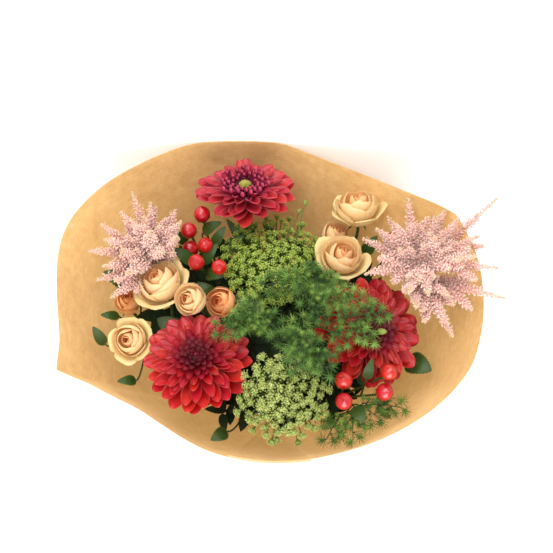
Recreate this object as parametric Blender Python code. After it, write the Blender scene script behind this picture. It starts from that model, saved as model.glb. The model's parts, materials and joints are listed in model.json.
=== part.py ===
"""A hand-tied bouquet of mixed flowers in a rolled sheet of kraft paper, lying on its side.

Everything is laid out in the bouquet's own frame, in millimetres. Its origin is where the twine
ties the stems: u runs across the bunch, v from its front to its back, and w up the stems to the
flower heads. LAY_DOWN then turns the bunch onto its back, heads toward -Y and cut ends toward +Y,
so that the paper's back edge and the lowest stem end touch z = 0.

Each node is grown from closed pieces (petals, needles, florets, stalks) that a Boolean union joins.
A piece that would cross a node built before it grows bent aside, or not at all.
"""

import math

import bmesh
import bpy
from mathutils import Matrix, Vector
from mathutils.bvhtree import BVHTree
from mathutils.geometry import intersect_point_line

# How the bunch lies
STEM_RISE = math.radians(16)        # angle of the bunch's axis above the table
TABLE_DEPTH = 84.0                  # from the tie's centre down to the table
CENTRE_SHIFT = (8.0, 55.5)         # brings the middle of the footprint to the origin

# The bunch at the tie
STEM_LENGTH = 172.0                 # from the tie down to the cut ends
TIE_BAND = 8.0                      # the stems run parallel over this height at the tie
STEM_SPLAY = 1.6                    # spread of the cut ends, relative to the tie
STEM_SAG = 19.78                    # how far the cut ends sag toward the table
STEM_TWIST = math.radians(-30)      # turn of the spiral from the tie to the cut ends
TOUCH_GAP = 0.35                    # between pieces that touch
CLEARANCE = 0.45                    # kept by what grows beside another node
GOLDEN_ANGLE = math.pi * (3 - math.sqrt(5))

# The paper sheet
PAPER_THICKNESS = 0.9
PAPER_START = 256.0                 # clock angle where the sheet starts, at the front
PAPER_OVERLAP = 28.0                # how far the sheet's end laps over its start, degrees
PAPER_LAP_GAP = 1.7                 # radial step between the two layers of the lap
PAPER_COLUMNS = 38
PAPER_NECK = 15.2                   # inner radius at the tie
PAPER_TAIL = (-32.0, 7.0)           # how far below the tie the paper ends, and its flare there
PAPER_SETTLE = 1.7                  # paper that comes this near to the table lies flat on it
PAPER_BELLY = 0.82                  # exponent of the trumpet's side: under 1 swells outward
# Rim of the paper: clock angle, radius, height above the tie. It is wide left and right, and it
# is smooth except where a corner of the sheet points out.
RIM_CORNERS = (25, 201)
RIM = (
    (0, 181, 230), (12, 181, 239), (25, 177, 246), (41, 153, 244), (60, 143, 240), (78, 147, 238),
    (96, 163, 237), (112, 167, 238), (130, 174, 238), (148, 184, 240), (161, 188, 238),
    (180, 179, 233), (192, 178, 232), (201, 186, 236), (208, 163, 225), (224, 141, 220),
    (251, 138, 216), (289, 143, 218), (308, 153, 222), (338, 176, 230), (349, 179, 230),
)

# Twine around the neck
TWINE_RADIUS = 1.1
TWINE_TURNS = 3
TWINE_PITCH = 1.6                   # height of one turn above the next, in twine radii: they merge
TWINE_STEPS = 14
TWINE_CORNERS = 4
TWINE_PLAY = 0.8                    # between the paper and the twine's innermost point

# Colours, as sRGB fractions, with roughness
LOOKS = {
    "kraft": ((0.82, 0.64, 0.43), 0.75),
    "twine": ((0.70, 0.58, 0.40), 0.85),
    "stem_green": ((0.30, 0.42, 0.18), 0.6),
    "leaf_green": ((0.20, 0.29, 0.12), 0.5),
    "fern_green": ((0.30, 0.40, 0.15), 0.6),
    "umbel_green": ((0.50, 0.55, 0.25), 0.7),
    "dahlia_coral": ((0.80, 0.20, 0.17), 0.5),
    "dahlia_pink": ((0.82, 0.27, 0.31), 0.5),
    "dahlia_wine": ((0.42, 0.08, 0.12), 0.5),
    "dahlia_eye": ((0.62, 0.56, 0.25), 0.6),
    "rose_cream": ((0.93, 0.78, 0.60), 0.5),
    "rose_peach": ((0.92, 0.66, 0.45), 0.5),
    "berry_red": ((0.72, 0.13, 0.14), 0.25),
    "astilbe_pink": ((0.92, 0.72, 0.68), 0.8),
}

MM = 0.001
BUILT = []                          # BVH trees of the nodes built so far, in the bouquet's frame
FLAT_ENOUGH = math.radians(4.0)     # neighbouring faces nearer to one plane than this are merged
SHARP_FROM = math.radians(50)       # edges sharper than this keep their crease in the shading


# ---------------------------------------------------------------- frames and small helpers

def lay_down_matrix():
    """From the bouquet's frame in millimetres to the laid-down part in metres."""
    rise, fall = math.sin(STEM_RISE), math.cos(STEM_RISE)
    turn = Matrix(((-1, 0, 0, CENTRE_SHIFT[0]),
                   (0, -rise, -fall, CENTRE_SHIFT[1]),
                   (0, -fall, rise, TABLE_DEPTH),
                   (0, 0, 0, 1)))
    return Matrix.Scale(MM, 4) @ turn


LAY_DOWN = lay_down_matrix()


def direction(lean, toward):
    """Unit vector that leans from the bunch's axis toward a clock angle, both in degrees."""
    lean, toward = math.radians(lean), math.radians(toward)
    return Vector((math.sin(lean) * math.cos(toward), math.sin(lean) * math.sin(toward),
                   math.cos(lean)))


def pose(centre, axis):
    """Matrix that stands local z along an axis, with local origin at the centre."""
    turn = Vector((0, 0, 1)).rotation_difference(axis).to_matrix().to_4x4()
    return Matrix.Translation(Vector(centre)) @ turn


def polar(radius, angle, height=0.0):
    return Vector((radius * math.cos(angle), radius * math.sin(angle), height))


def mix(first, second, share):
    return first + (second - first) * share


def bezier(start, near_start, near_end, end, share):
    rest = 1 - share
    return (start * rest ** 3 + near_start * 3 * rest * rest * share
            + near_end * 3 * rest * share * share + end * share ** 3)


# ---------------------------------------------------------------- closed pieces

def loft(rings, first_tip=None, last_tip=None):
    """Skins rings of equal count. Each end closes on a tip point, or flat where none is given."""
    points = [point for ring in rings for point in ring]
    count = len(rings[0])
    faces = []
    for row in range(len(rings) - 1):
        for side in range(count):
            after = (side + 1) % count
            faces.append((row * count + side, row * count + after,
                          (row + 1) * count + after, (row + 1) * count + side))
    for tip, row in ((first_tip, 0), (last_tip, len(rings) - 1)):
        ring = [row * count + side for side in range(count)]
        if tip is None:
            faces.append(tuple(ring))
            continue
        points.append(tip)
        faces += [(ring[side], ring[(side + 1) % count], len(points) - 1) for side in range(count)]
    return points, faces


def moved(piece, matrix):
    points, faces = piece
    return [matrix @ point for point in points], faces


def across_frames(path):
    """Two directions square to the path at each of its points, carried along without twist."""
    frames = []
    side = None
    for index in range(len(path)):
        before, after = path[max(index - 1, 0)], path[min(index + 1, len(path) - 1)]
        along = (after - before).normalized()
        if side is None:
            side = along.orthogonal().normalized()
        side = (side - along * side.dot(along)).normalized()
        frames.append((side, along.cross(side)))
    return frames


def tube(path, radii, sides, bump=0.0):
    """Stalk of round section. A bump makes every second edge of it stand out, in turns."""
    rings = []
    frames = across_frames(path)
    for index, (point, radius) in enumerate(zip(path, radii)):
        side, other = frames[index]
        ring = []
        for corner in range(sides):
            angle = 2 * math.pi * corner / sides
            reach = radius * (1 + bump * (-1) ** (corner + index))
            ring.append(point + side * (reach * math.cos(angle)) + other * (reach * math.sin(angle)))
        rings.append(ring)
    return loft(rings)


def lathe(profile, sides, matrix):
    """Body turned around local z from (radius, height) pairs. It closes on the first and last."""
    rings = [[polar(radius, 2 * math.pi * side / sides, height) for side in range(sides)]
             for radius, height in profile[1:-1]]
    first, last = profile[0], profile[-1]
    return moved(loft(rings, Vector((0, 0, first[1])), Vector((0, 0, last[1]))), matrix)


def blade(path, widths, normal, thickness, cup):
    """Petal or leaflet of lens section: two thin edges, and a ridge on each face.

    The path's last point is the tip. The cup lifts the edges by that share of the width.
    """
    rings = []
    for index, width in enumerate(widths):
        before, after = path[max(index - 1, 0)], path[index + 1]
        along = (after - before).normalized()
        side = along.cross(normal).normalized()
        face = side.cross(along)
        lift = face * (cup * width)
        rings.append([path[index] - side * (width / 2) + lift, path[index] + face * (thickness / 2),
                      path[index] + side * (width / 2) + lift, path[index] - face * (thickness / 2)])
    return loft(rings, last_tip=path[-1])


def star(points, reach, matrix, hollow=0.35, lift=0.0, top=1.2, bottom=-1.6):
    """Flat star of leafy points, such as the sepals under a flower."""
    rim = []
    for corner in range(2 * points):
        angle = math.pi * corner / points
        outer = corner % 2 == 0
        rim.append(matrix @ polar(reach if outer else reach * hollow, angle, lift if outer else 0.0))
    return loft([rim], matrix @ Vector((0, 0, bottom)), matrix @ Vector((0, 0, top)))


def prickly_shoot(path, radius, bare_steps, reach, lean):
    """Slim three-sided shoot with a needle drawn out of every second facet past its bare steps."""
    points, faces = tube(path, [radius] * len(path), 3)
    shaped = []
    for index, face in enumerate(faces):
        row = index // 3
        if len(face) != 4 or row < bare_steps or index % 2:
            shaped.append(face)
            continue
        middle = sum((points[corner] for corner in face), Vector()) / 4
        along = (path[row + 1] - path[row]).normalized()
        outward = (middle - mix(path[row], path[row + 1], 0.5)).normalized()
        points.append(middle + outward * reach + along * lean)
        shaped += [(face[side], face[(side + 1) % 4], len(points) - 1) for side in range(4)]
    return points, shaped


def needle(root, tip, radius):
    """Thin three-sided spike."""
    side = (tip - root).orthogonal().normalized() * radius
    other = (tip - root).normalized().cross(side)
    ring = [root + side * math.cos(turn) + other * math.sin(turn)
            for turn in (0, math.tau / 3, 2 * math.tau / 3)]
    return loft([ring], last_tip=tip)


# ---------------------------------------------------------------- from pieces to nodes

def mesh_of(piece, name="piece"):
    """Blender mesh of a closed piece, with its faces pointing out."""
    points, faces = piece
    mesh = bpy.data.meshes.new(name)
    mesh.from_pydata([tuple(point) for point in points], [], faces)
    shape = bmesh.new()
    shape.from_mesh(mesh)
    bmesh.ops.recalc_face_normals(shape, faces=shape.faces)
    bmesh.ops.triangulate(shape, faces=shape.faces)
    shape.to_mesh(mesh)
    shape.free()
    return mesh


def is_clear(piece):
    """Whether a piece keeps its clearance from every node built so far."""
    points, faces = piece
    own_tree = BVHTree.FromPolygons([tuple(point) for point in points], faces)
    middle = sum(points, Vector()) / len(points)
    reach = max((point - middle).length for point in points) + CLEARANCE
    for tree in BUILT:
        if tree.find_nearest(middle, reach)[0] is None:
            continue
        if tree.overlap(own_tree):
            return False
        for point in points:
            spot, normal, _, distance = tree.find_nearest(point, 8.0)
            if spot is not None and (distance < CLEARANCE or (point - spot).dot(normal) < 0):
                return False
    return True


def largest_body(mesh):
    """Drops loose scraps and the shells of sealed hollows, keeping the main body."""
    shape = bmesh.new()
    shape.from_mesh(mesh)
    left = set(shape.verts)
    bodies = []
    while left:
        body, front = set(), [left.pop()]
        while front:
            vertex = front.pop()
            body.add(vertex)
            linked = [edge.other_vert(vertex) for edge in vertex.link_edges]
            front += [other for other in linked if other in left]
            left.difference_update(linked)
        bodies.append(body)
    main = max(bodies, key=len)
    bmesh.ops.delete(shape, geom=[v for v in shape.verts if v not in main], context="VERTS")
    bmesh.ops.dissolve_limit(shape, angle_limit=FLAT_ENOUGH, verts=shape.verts, edges=shape.edges)
    bmesh.ops.triangulate(shape, faces=shape.faces)
    shape.to_mesh(mesh)
    shape.free()


def fuse(pieces):
    """Joins overlapping closed pieces in one mesh, by one Boolean union on a collection."""
    scene = bpy.context.scene.collection
    group = bpy.data.collections.new("pieces")
    scene.children.link(group)
    body, *others = [bpy.data.objects.new("piece", mesh_of(piece)) for piece in pieces]
    scene.objects.link(body)
    for other in others:
        group.objects.link(other)
    if others:
        union = body.modifiers.new("Union", "BOOLEAN")
        union.operation = "UNION"
        union.operand_type = "COLLECTION"
        union.collection = group
    bpy.context.view_layer.update()
    graph = bpy.context.evaluated_depsgraph_get()
    mesh = bpy.data.meshes.new_from_object(body.evaluated_get(graph))
    for used in (body, *others):
        bpy.data.objects.remove(used)
    bpy.data.collections.remove(group)
    largest_body(mesh)
    return mesh


def look(name):
    """Material of a named colour, made once."""
    if name in bpy.data.materials:
        return bpy.data.materials[name]
    (red, green, blue), roughness = LOOKS[name]
    material = bpy.data.materials.new(name)
    material.use_nodes = True
    shader = material.node_tree.nodes["Principled BSDF"]
    linear = [channel ** 2.2 for channel in (red, green, blue)]
    shader.inputs["Base Color"].default_value = (*linear, 1)
    shader.inputs["Roughness"].default_value = roughness
    shader.inputs["Metallic"].default_value = 0.0
    material.diffuse_color = (*linear, 1)
    return material


def clear_version(versions):
    """The first of a piece's versions that crosses nothing: as it grows freely, or bent aside."""
    for piece in versions:
        if is_clear(piece):
            return piece
    return None


def grow(name, material, body, repeats=()):
    """Builds a node from its body and its repeats, each given as one or more bent versions."""
    kept = [clear_version(versions) for versions in repeats]
    mesh = fuse(list(body) + [piece for piece in kept if piece])
    BUILT.append(BVHTree.FromPolygons([v.co.copy() for v in mesh.vertices],
                                      [tuple(face.vertices) for face in mesh.polygons]))
    mesh.transform(LAY_DOWN)
    mesh.materials.append(look(material))
    mesh.shade_smooth()
    mesh.set_sharp_from_angle(angle=SHARP_FROM)
    mesh.name = name
    bpy.context.scene.collection.objects.link(bpy.data.objects.new(name, mesh))


# ---------------------------------------------------------------- paper and twine

def rim_slope(index, part, side):
    """Change per degree of the rim's radius or height at a named point, on one side of a corner."""
    count = len(RIM)
    before, after = index - 1, index + 1
    if RIM[index][0] in RIM_CORNERS:
        before, after = (index, index + 1) if side > 0 else (index - 1, index)
    span = (RIM[after % count][0] - RIM[before % count][0]) % 360
    return (RIM[after % count][part] - RIM[before % count][part]) / span


def rim_at(clock):
    """Radius and height of the paper's rim at a clock angle, eased between its named points."""
    clock %= 360
    index = max(place for place, stop in enumerate(RIM) if stop[0] <= clock)
    here, there = RIM[index], RIM[(index + 1) % len(RIM)]
    span = (there[0] - here[0]) % 360
    share = (clock - here[0]) / span
    values = []
    for part in (1, 2):
        start = rim_slope(index, part, 1) * span
        end = rim_slope((index + 1) % len(RIM), part, -1) * span
        values.append(mix(here[part], there[part], share * share * (3 - 2 * share))
                      + start * share * (1 - share) ** 2 - end * share * share * (1 - share))
    return values


def paper_clocks(columns):
    """Clock angles of the sheet's columns, the nearest ones moved onto the rim's corners."""
    sweep = 360 + PAPER_OVERLAP
    clocks = [PAPER_START + sweep * column / (columns - 1) for column in range(columns)]
    for corner in RIM_CORNERS:
        nearest = min(clocks, key=lambda clock: abs(clock - corner - 360))
        clocks[clocks.index(nearest)] = corner + 360.0
    return clocks


def paper_point(clock, rise, outward):
    """Point of the paper: rise 0 at the tie and 1 at the rim, below 0 in the tail."""
    rim_radius, rim_height = rim_at(clock)
    lap = PAPER_LAP_GAP * (clock - PAPER_START) / 360
    if rise < 0:
        height = PAPER_TAIL[0] * -rise
        flare = max(0.0, (-height - TIE_BAND) / (-PAPER_TAIL[0] - TIE_BAND))
        radius = PAPER_NECK + PAPER_TAIL[1] * flare
    else:
        radius = mix(PAPER_NECK, rim_radius, rise ** PAPER_BELLY)
        height = rim_height * rise
    point = polar(radius + lap + outward, math.radians(clock), height)
    depth = (LAY_DOWN @ point).z / MM
    floor = PAPER_THICKNESS - outward
    if depth < floor + PAPER_SETTLE:
        point += Vector((0, -math.cos(STEM_RISE), math.sin(STEM_RISE))) * (floor - depth)
    return point


def build_paper():
    """One sheet rolled into a trumpet, its end lapped over its start."""
    rises = (-1.0, TIE_BAND / PAPER_TAIL[0], 0.0, 0.15, 0.4, 0.65, 0.85, 1.0)
    rings = []
    for clock in paper_clocks(PAPER_COLUMNS):
        inner = [paper_point(clock, rise, 0.0) for rise in rises]
        outer = [paper_point(clock, rise, PAPER_THICKNESS) for rise in reversed(rises)]
        rings.append(inner + outer)
    points, faces = loft(rings)
    count = len(rises)
    faces = [face for face in faces if len(face) == 4]
    for start in (0, (PAPER_COLUMNS - 1) * 2 * count):
        faces += [(start + row, start + row + 1, start + 2 * count - 2 - row,
                   start + 2 * count - 1 - row) for row in range(count - 1)]
    grow("paper_wrapper", "kraft", [(points, faces)])


def build_twine():
    """Turns of twine laid side by side around the neck, merged into one band."""
    paper_radius = PAPER_NECK + PAPER_LAP_GAP * (1 + PAPER_OVERLAP / 360) + PAPER_THICKNESS
    radius = paper_radius + TWINE_PLAY + TWINE_RADIUS
    corners = [math.tau * (corner + 0.25) / TWINE_CORNERS for corner in range(TWINE_CORNERS)]
    turns = []
    for turn in range(TWINE_TURNS):
        height = (turn - (TWINE_TURNS - 1) / 2) * TWINE_RADIUS * TWINE_PITCH - TIE_BAND / 2
        rings = []
        for step in range(TWINE_STEPS):
            angle = math.tau * step / TWINE_STEPS
            rings.append([polar(radius + TWINE_RADIUS * math.cos(corner), angle,
                                height + TWINE_RADIUS * math.sin(corner)) for corner in corners])
        points, faces = loft(rings + [rings[0]])
        turns.append((points[:-TWINE_CORNERS], close_loop(faces, TWINE_STEPS, TWINE_CORNERS)))
    grow("twine_tie", "twine", turns)


def close_loop(faces, steps, corners):
    """Joins a loft's last ring to its first, in place of the two end caps."""
    total = steps * corners
    return [tuple(index % total for index in face) for face in faces[:total]]


# ---------------------------------------------------------------- the bunch of stems

# Stems in the bunch: name -> radius at the tie, and the clock angle that it is pushed toward
STEMS = {
    "dahlia_1": (3.5, 224), "dahlia_2": (3.5, 100), "dahlia_3": (3.5, 342),
    "rose_1": (2.5, 186), "rose_2": (2.4, 200), "rose_3": (2.5, 58), "rose_4": (2.4, 30),
    "umbel_1": (2.5, 80), "umbel_2": (2.5, 275), "astilbe_1": (2.2, 150), "astilbe_2": (2.2, 8),
    "hypericum_1": (2.1, 130), "hypericum_2": (2.1, 318),
    "fern_1": (1.6, 350), "fern_2": (1.6, 20), "fern_3": (1.6, 290), "fern_4": (1.6, 250),
    "fern_5": (1.6, 296),
}
# Those packed in the middle of the bunch, with the others around them
CORE_STEMS = ("umbel_1", "fern_1", "fern_2", "fern_3", "fern_4", "rose_2")
CORE_START = 4.0                    # radius that the middle stems are pressed inward from
CORE_STEP = 0.4                     # each one a little farther out
RING_START = 15.0                   # and the outer ones
PRESS_ROUNDS = 400
PUSHES_PER_ROUND = 12
PRESS = 0.992                       # each round brings the stems inward by this factor


def packed_slots():
    """Where each stem crosses the tie: pressed inward until the stems touch each other."""
    slots = {}
    for index, (name, (radius, clock)) in enumerate(STEMS.items()):
        start = CORE_START + CORE_STEP * index if name in CORE_STEMS else RING_START
        slots[name] = polar(start, math.radians(clock))
    for _ in range(PRESS_ROUNDS):
        for name, slot in slots.items():
            slots[name] = slot * PRESS
        for _ in range(PUSHES_PER_ROUND):
            push_apart(slots)
    return slots


def push_apart(slots):
    names = list(slots)
    for index, first in enumerate(names):
        for second in names[index + 1:]:
            apart = slots[second] - slots[first]
            needed = STEMS[first][0] + STEMS[second][0] + TOUCH_GAP
            lack = needed - apart.length
            if lack > 0:
                shift = apart.normalized() * (lack / 2)
                slots[first] -= shift
                slots[second] += shift


SLOTS = packed_slots()
BELOW_TIE = (1.0, 0.66, 0.33, 0.0)  # steps of a stem, from its cut end up to the band of the tie


def below_tie(name):
    """Points of a stem from its cut end up to the tie, along the spiral of the bunch."""
    points = []
    for share in BELOW_TIE:
        spread = 1 + (STEM_SPLAY - 1) * share
        turn = Matrix.Rotation(STEM_TWIST * share, 3, "Z")
        height = -mix(TIE_BAND, STEM_LENGTH, share)
        points.append(turn @ SLOTS[name] * spread + Vector((0, STEM_SAG * share, height)))
    return points + [SLOTS[name].copy()]


def stem_path(name, end, end_axis, steps=5, lift=70.0):
    """Whole stem: cut end, tie, then a smooth sweep up to a head that it meets square on."""
    slot = SLOTS[name]
    near_tie = slot * 1.9 + Vector((0, 0, lift))
    arrive = (end_axis + end.normalized()).normalized()
    near_end = end - arrive * lift
    above = [bezier(slot, near_tie, near_end, end, step / steps) for step in range(1, steps + 1)]
    return below_tie(name) + above


def stem_radii(name, count, end_radius):
    """Stem radii along its path: even below the tie, finer toward the head."""
    start = STEMS[name][0]
    even = len(BELOW_TIE) + 1
    rest = count - even
    return [start] * even + [mix(start, end_radius, step / rest) for step in range(1, rest + 1)]


# ---------------------------------------------------------------- dahlias

DAHLIAS = {  # centre, lean and clock angle of the face, radius, petal colour
    "dahlia_1": ((-60, -58, 235), 2.5, 206, 45.5, "dahlia_coral"),
    "dahlia_2": ((-22, 104, 240), 22, 94, 45.0, "dahlia_pink"),
    "dahlia_3": ((85, -29, 230), 24, 331, 48.5, "dahlia_coral"),
}
OPEN_DAHLIAS = ("dahlia_2",)        # those open enough to show the eye
DAHLIA_SCALE = 45.0                 # radius of the head that the measures below are for
PETAL_COUNT = 26
HEART_COUNT = 10
PETAL_THICKNESS = 1.5
# From the outermost petal to the innermost: tip radius and height, root radius and height, width
OUTER_PETAL = (45.5, -7.0, 8.0, -9.5, 16.5)
INNER_PETAL = (27.0, 12.0, 6.0, 1.5, 12.0)
HEART_OUTER = (20.5, 17.5, 3.0, 7.0, 8.5)
HEART_INNER = (5.0, 19.0, 1.5, 11.0, 4.5)
BROAD_PETAL = ((0.0, 0.45, 0.78, 1.0), (0.3, 1.0, 0.72))    # steps along a petal, and widths there
ROLLED_PETAL = ((0.0, 0.6, 1.0), (0.4, 1.0))
PETAL_CUP = 0.17                    # rise of a petal's edges, by its width
PETAL_SAG = 2.2                     # dip of its middle
# How a petal may bend aside: rise of its tip, and its reach
BENDS = ((0, 1), (4, 1), (-4, 1), (7, 0.95), (0, 0.86), (6, 0.86), (0, 0.74))
DAHLIA_CORE = ((0, -13), (9, -12.5), (15, -8.5), (13, -2), (9, 4), (0, 5))      # radius, height
HEART_CORE = ((0, 5.6), (6, 6), (8.5, 9.0), (5.5, 13), (0, 14.5))
# A dahlia that shows its eye is flatter: a ring of quills stands around the sunk button
OPEN_INNER_PETAL = (28.0, 6.5, 6.0, 0.5, 11.5)
OPEN_HEART_OUTER = (19.5, 12.0, 5.0, 6.4, 7.0)
OPEN_HEART_INNER = (12.5, 12.0, 3.5, 6.8, 6.0)
OPEN_HEART_CORE = ((0, 5.6), (6, 5.8), (8.0, 6.6), (5.5, 7.6), (0, 8.0))
EYE_CORE = ((0, 8.4), (3.6, 8.6), (5.0, 9.8), (3.4, 11.4), (0, 12.0))
EYE_FLORETS = 8


def spiral_petal(share, angle, outermost, innermost, shape, bend, shorten):
    """Cupped, pointed petal. Its share runs from 0 at the outside of the spiral to 1 inside."""
    tip_radius, tip_height, root_radius, root_height, width = (
        mix(first, last, share) for first, last in zip(outermost, innermost))
    steps, widths = shape
    path = []
    for step in steps:
        sag = PETAL_SAG * math.sin(math.pi * step) - bend * step * step
        path.append(polar(mix(root_radius, tip_radius * shorten, step), angle,
                          mix(root_height, tip_height, step) - sag))
    normal = Vector((0, 0, 1)) - polar(0.2, angle)
    return blade(path, [width * part for part in widths], normal, PETAL_THICKNESS, PETAL_CUP)


def petal_spiral(count, outermost, innermost, shape, matrix):
    """Petals that follow the golden angle inward, each free to bend clear of its neighbours."""
    petals = []
    for index in range(count):
        share = index / (count - 1)
        angle = index * GOLDEN_ANGLE
        versions = [spiral_petal(share, angle, outermost, innermost, shape, bend, shorten)
                    for bend, shorten in BENDS]
        petals.append([moved(petal, matrix) for petal in versions])
    return petals


def dahlia_pose(name):
    centre, lean, toward, radius, _ = DAHLIAS[name]
    axis = direction(lean, toward)
    return pose(centre, axis) @ Matrix.Scale(radius / DAHLIA_SCALE, 4), axis


def build_dahlia(name):
    """Petals on a conical core, and a wine-dark heart of rolled petals on top of it."""
    matrix, _ = dahlia_pose(name)
    innermost, heart, hub = INNER_PETAL, (HEART_OUTER, HEART_INNER), HEART_CORE
    if name in OPEN_DAHLIAS:
        innermost, heart, hub = OPEN_INNER_PETAL, (OPEN_HEART_OUTER, OPEN_HEART_INNER), OPEN_HEART_CORE
    core = lathe(DAHLIA_CORE, 8, matrix)
    petals = petal_spiral(PETAL_COUNT, OUTER_PETAL, innermost, BROAD_PETAL, matrix)
    grow(name + "_petals", DAHLIAS[name][4], [core], petals)
    rolled = petal_spiral(HEART_COUNT, *heart, ROLLED_PETAL, matrix)
    grow(name + "_heart", "dahlia_wine", [lathe(hub, 7, matrix)], rolled)


def build_dahlia_eye(name):
    """Green-yellow button of unopened florets in the middle of a dahlia's heart."""
    matrix, _ = dahlia_pose(name)
    florets = []
    for index in range(EYE_FLORETS):
        out = 4.6 * math.sqrt((index + 0.5) / EYE_FLORETS)
        angle = index * GOLDEN_ANGLE
        floret = needle(polar(out * 0.6, angle, 9.4), polar(out * 1.1, angle, 13.4), 1.1)
        florets.append([moved(floret, matrix)])
    grow(name + "_eye", "dahlia_eye", [lathe(EYE_CORE, 7, matrix)], florets)


def build_dahlia_stem(name):
    """Stem that widens into the green calyx under the head, with its star of bracts."""
    matrix, axis = dahlia_pose(name)
    end = matrix @ Vector((0, 0, -17))
    path = stem_path(name, end, axis)
    stalk = tube(path, stem_radii(name, len(path), 2.6), 6)
    calyx = star(5, 17.0, matrix @ Matrix.Translation((0, 0, -16)), 0.4, -2.0, 2.6, -3.5)
    grow(name + "_stem", "stem_green", [stalk, calyx])


# ---------------------------------------------------------------- spray roses

ROSES = {  # centre, lean and clock angle of the face, diameter, petals per ring, colour
    "rose_1a": ((-94, 15, 232), 20, 150, 44, "rose_cream"),
    "rose_1b": ((-118, -33, 220), 26, 235, 34, "rose_cream"),
    "rose_1c": ((-124, 13, 201), 5, 162, 24, "rose_peach"),
    "rose_2a": ((-66, -8, 245), 26, 213, 28, "rose_cream"),
    "rose_2b": ((-41, 2, 222), 26, 213, 28, "rose_peach"),
    "rose_3a": ((77, 92, 230), 28, 99, 43, "rose_cream"),
    "rose_3b": ((57, 72, 214), 18, 42, 27, "rose_cream"),
    "rose_4a": ((62, 38, 237), 9, 49, 41, "rose_cream"),
    "rose_4b": ((112, 68, 206), 20, 22, 23, "rose_peach"),
}
SMALL_ROSE = 30.0                   # blooms under this diameter are buds without the outer ring
BUD_SCALE = 1.3                     # their inner rings are drawn this much larger, to fill them
# A petal's run from the receptacle to its rim, as shares of the diameter: radius, height
OUTER_RUN = ((0.06, -0.36), (0.41, -0.20), (0.50, 0.08))
MIDDLE_RUN = ((0.05, -0.31), (0.31, -0.08), (0.34, 0.22))
INNER_RUN = ((0.04, -0.25), (0.215, 0.02), (0.15, 0.32))
ROSE_CORE = ((0, -0.40), (0.13, -0.38), (0.13, -0.16), (0.09, 0.20), (0, 0.24))
CLAW = (0.34, 0.9, 1.0)             # a petal's width at each step of its run: a narrow claw, then full
PETAL_LAP = 0.022                   # how far a petal's sides step out and in, to lap, by diameter
ROSE_PETAL_THICKNESS = 1.5


def cupped_petal(run, angle, half_width, size, dip):
    """Curved petal wrapped around local z, thickest in its middle and thin at its edge.

    One side lies farther out than the other, to lap over the neighbouring petal.
    """
    (claw_radius, claw_height), (waist_radius, waist_height), (rim_radius, rim_height) = run
    loop = []
    for radius, height, column, share in (
            (claw_radius, claw_height, -1, CLAW[0]), (waist_radius, waist_height, -1, CLAW[1]),
            (rim_radius, rim_height - dip, -1, CLAW[2]), (rim_radius, rim_height, 0, CLAW[2]),
            (rim_radius, rim_height - dip, 1, CLAW[2]), (waist_radius, waist_height, 1, CLAW[1]),
            (claw_radius, claw_height, 1, CLAW[0])):
        reach = (radius + PETAL_LAP * column) * size
        loop.append(polar(reach, angle + column * half_width * share, height * size))
    middles = [polar(waist_radius * size + side * ROSE_PETAL_THICKNESS / 2, angle, waist_height * size)
               for side in (-1, 1)]
    return loft([loop], *middles)


def rose_scale(name):
    """Diameter that a bloom's petals are drawn for."""
    size = ROSES[name][3]
    return size * BUD_SCALE if size < SMALL_ROSE else size


def build_rose(name):
    """Bloom of a spray rose: a bud core, and rings of cupped petals opening around it."""
    centre, lean, toward, size, colour = ROSES[name]
    matrix = pose(centre, direction(lean, toward))
    small = size < SMALL_ROSE
    rings = [(MIDDLE_RUN, 3, 1.15, 0.04), (INNER_RUN, 1 if small else 2, 1.55, 0.0)]
    if not small:
        rings.insert(0, (OUTER_RUN, 5, 0.72, 0.09))
    scale = rose_scale(name)
    petals = []
    for ring, (run, count, half_width, dip) in enumerate(rings):
        for index in range(count):
            angle = 2 * math.pi * index / count + ring * 0.7
            petals.append([moved(cupped_petal(run, angle, half_width, scale, dip), matrix)])
    core = [(radius * scale, height * scale) for radius, height in ROSE_CORE]
    grow(name + "_bloom", colour, [lathe(core, 6, matrix)], petals)


def rose_base(name, drop):
    """Point under a bloom, below its receptacle."""
    centre, lean, toward, _, _ = ROSES[name]
    axis = direction(lean, toward)
    return Vector(centre) + axis * (ROSE_CORE[0][1] * rose_scale(name) - drop), axis


# Rose sprays: blooms, fork of the stem, and leaves as base point, tip point and width
SPRAYS = {
    "rose_1": (("rose_1a", "rose_1b", "rose_1c"), (-88, -8, 150),
               (((-142, -28, 200), (-151, -18, 214), 11), ((-114, -60, 196), (-127, -67, 212), 10),
                ((-118, 34, 188), (-146, 40, 206), 20))),
    "rose_2": (("rose_2a", "rose_2b"), (-44, -6, 150),
               (((-76, -18, 200), (-96, -10, 214), 20), ((-25, -4, 198), (-5, 6, 214), 22))),
    "rose_3": (("rose_3a", "rose_3b"), (54, 60, 150),
               (((84, 62, 198), (94, 70, 216), 15),)),
    "rose_4": (("rose_4a", "rose_4b"), (66, 38, 150),
               (((96, 18, 204), (100, 4, 222), 18), ((118, -36, 184), (137, -51, 199), 22))),
}


def nearest_on(path, spot):
    """Point of a path nearest to a spot."""
    best = None
    for start, end in zip(path, path[1:]):
        point, share = intersect_point_line(spot, start, end)
        point = mix(start, end, min(max(share, 0.05), 0.95))
        if best is None or (point - spot).length < (best - spot).length:
            best = point
    return best


def toothed_leaf(base, tip, width, facing):
    """Leaflet with a saw-toothed edge and a keeled, lens-shaped section."""
    shares = (0.0, 0.26, 0.33, 0.55, 0.62, 0.82, 1.0)
    widths = (0.2, 0.98, 0.8, 1.0, 0.76, 0.6)
    arch = (tip - base).length * 0.07
    path = [mix(base, tip, share) + facing * (arch * math.sin(math.pi * share)) for share in shares]
    return blade(path, [width * share for share in widths], facing, 1.3, 0.1)


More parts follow.
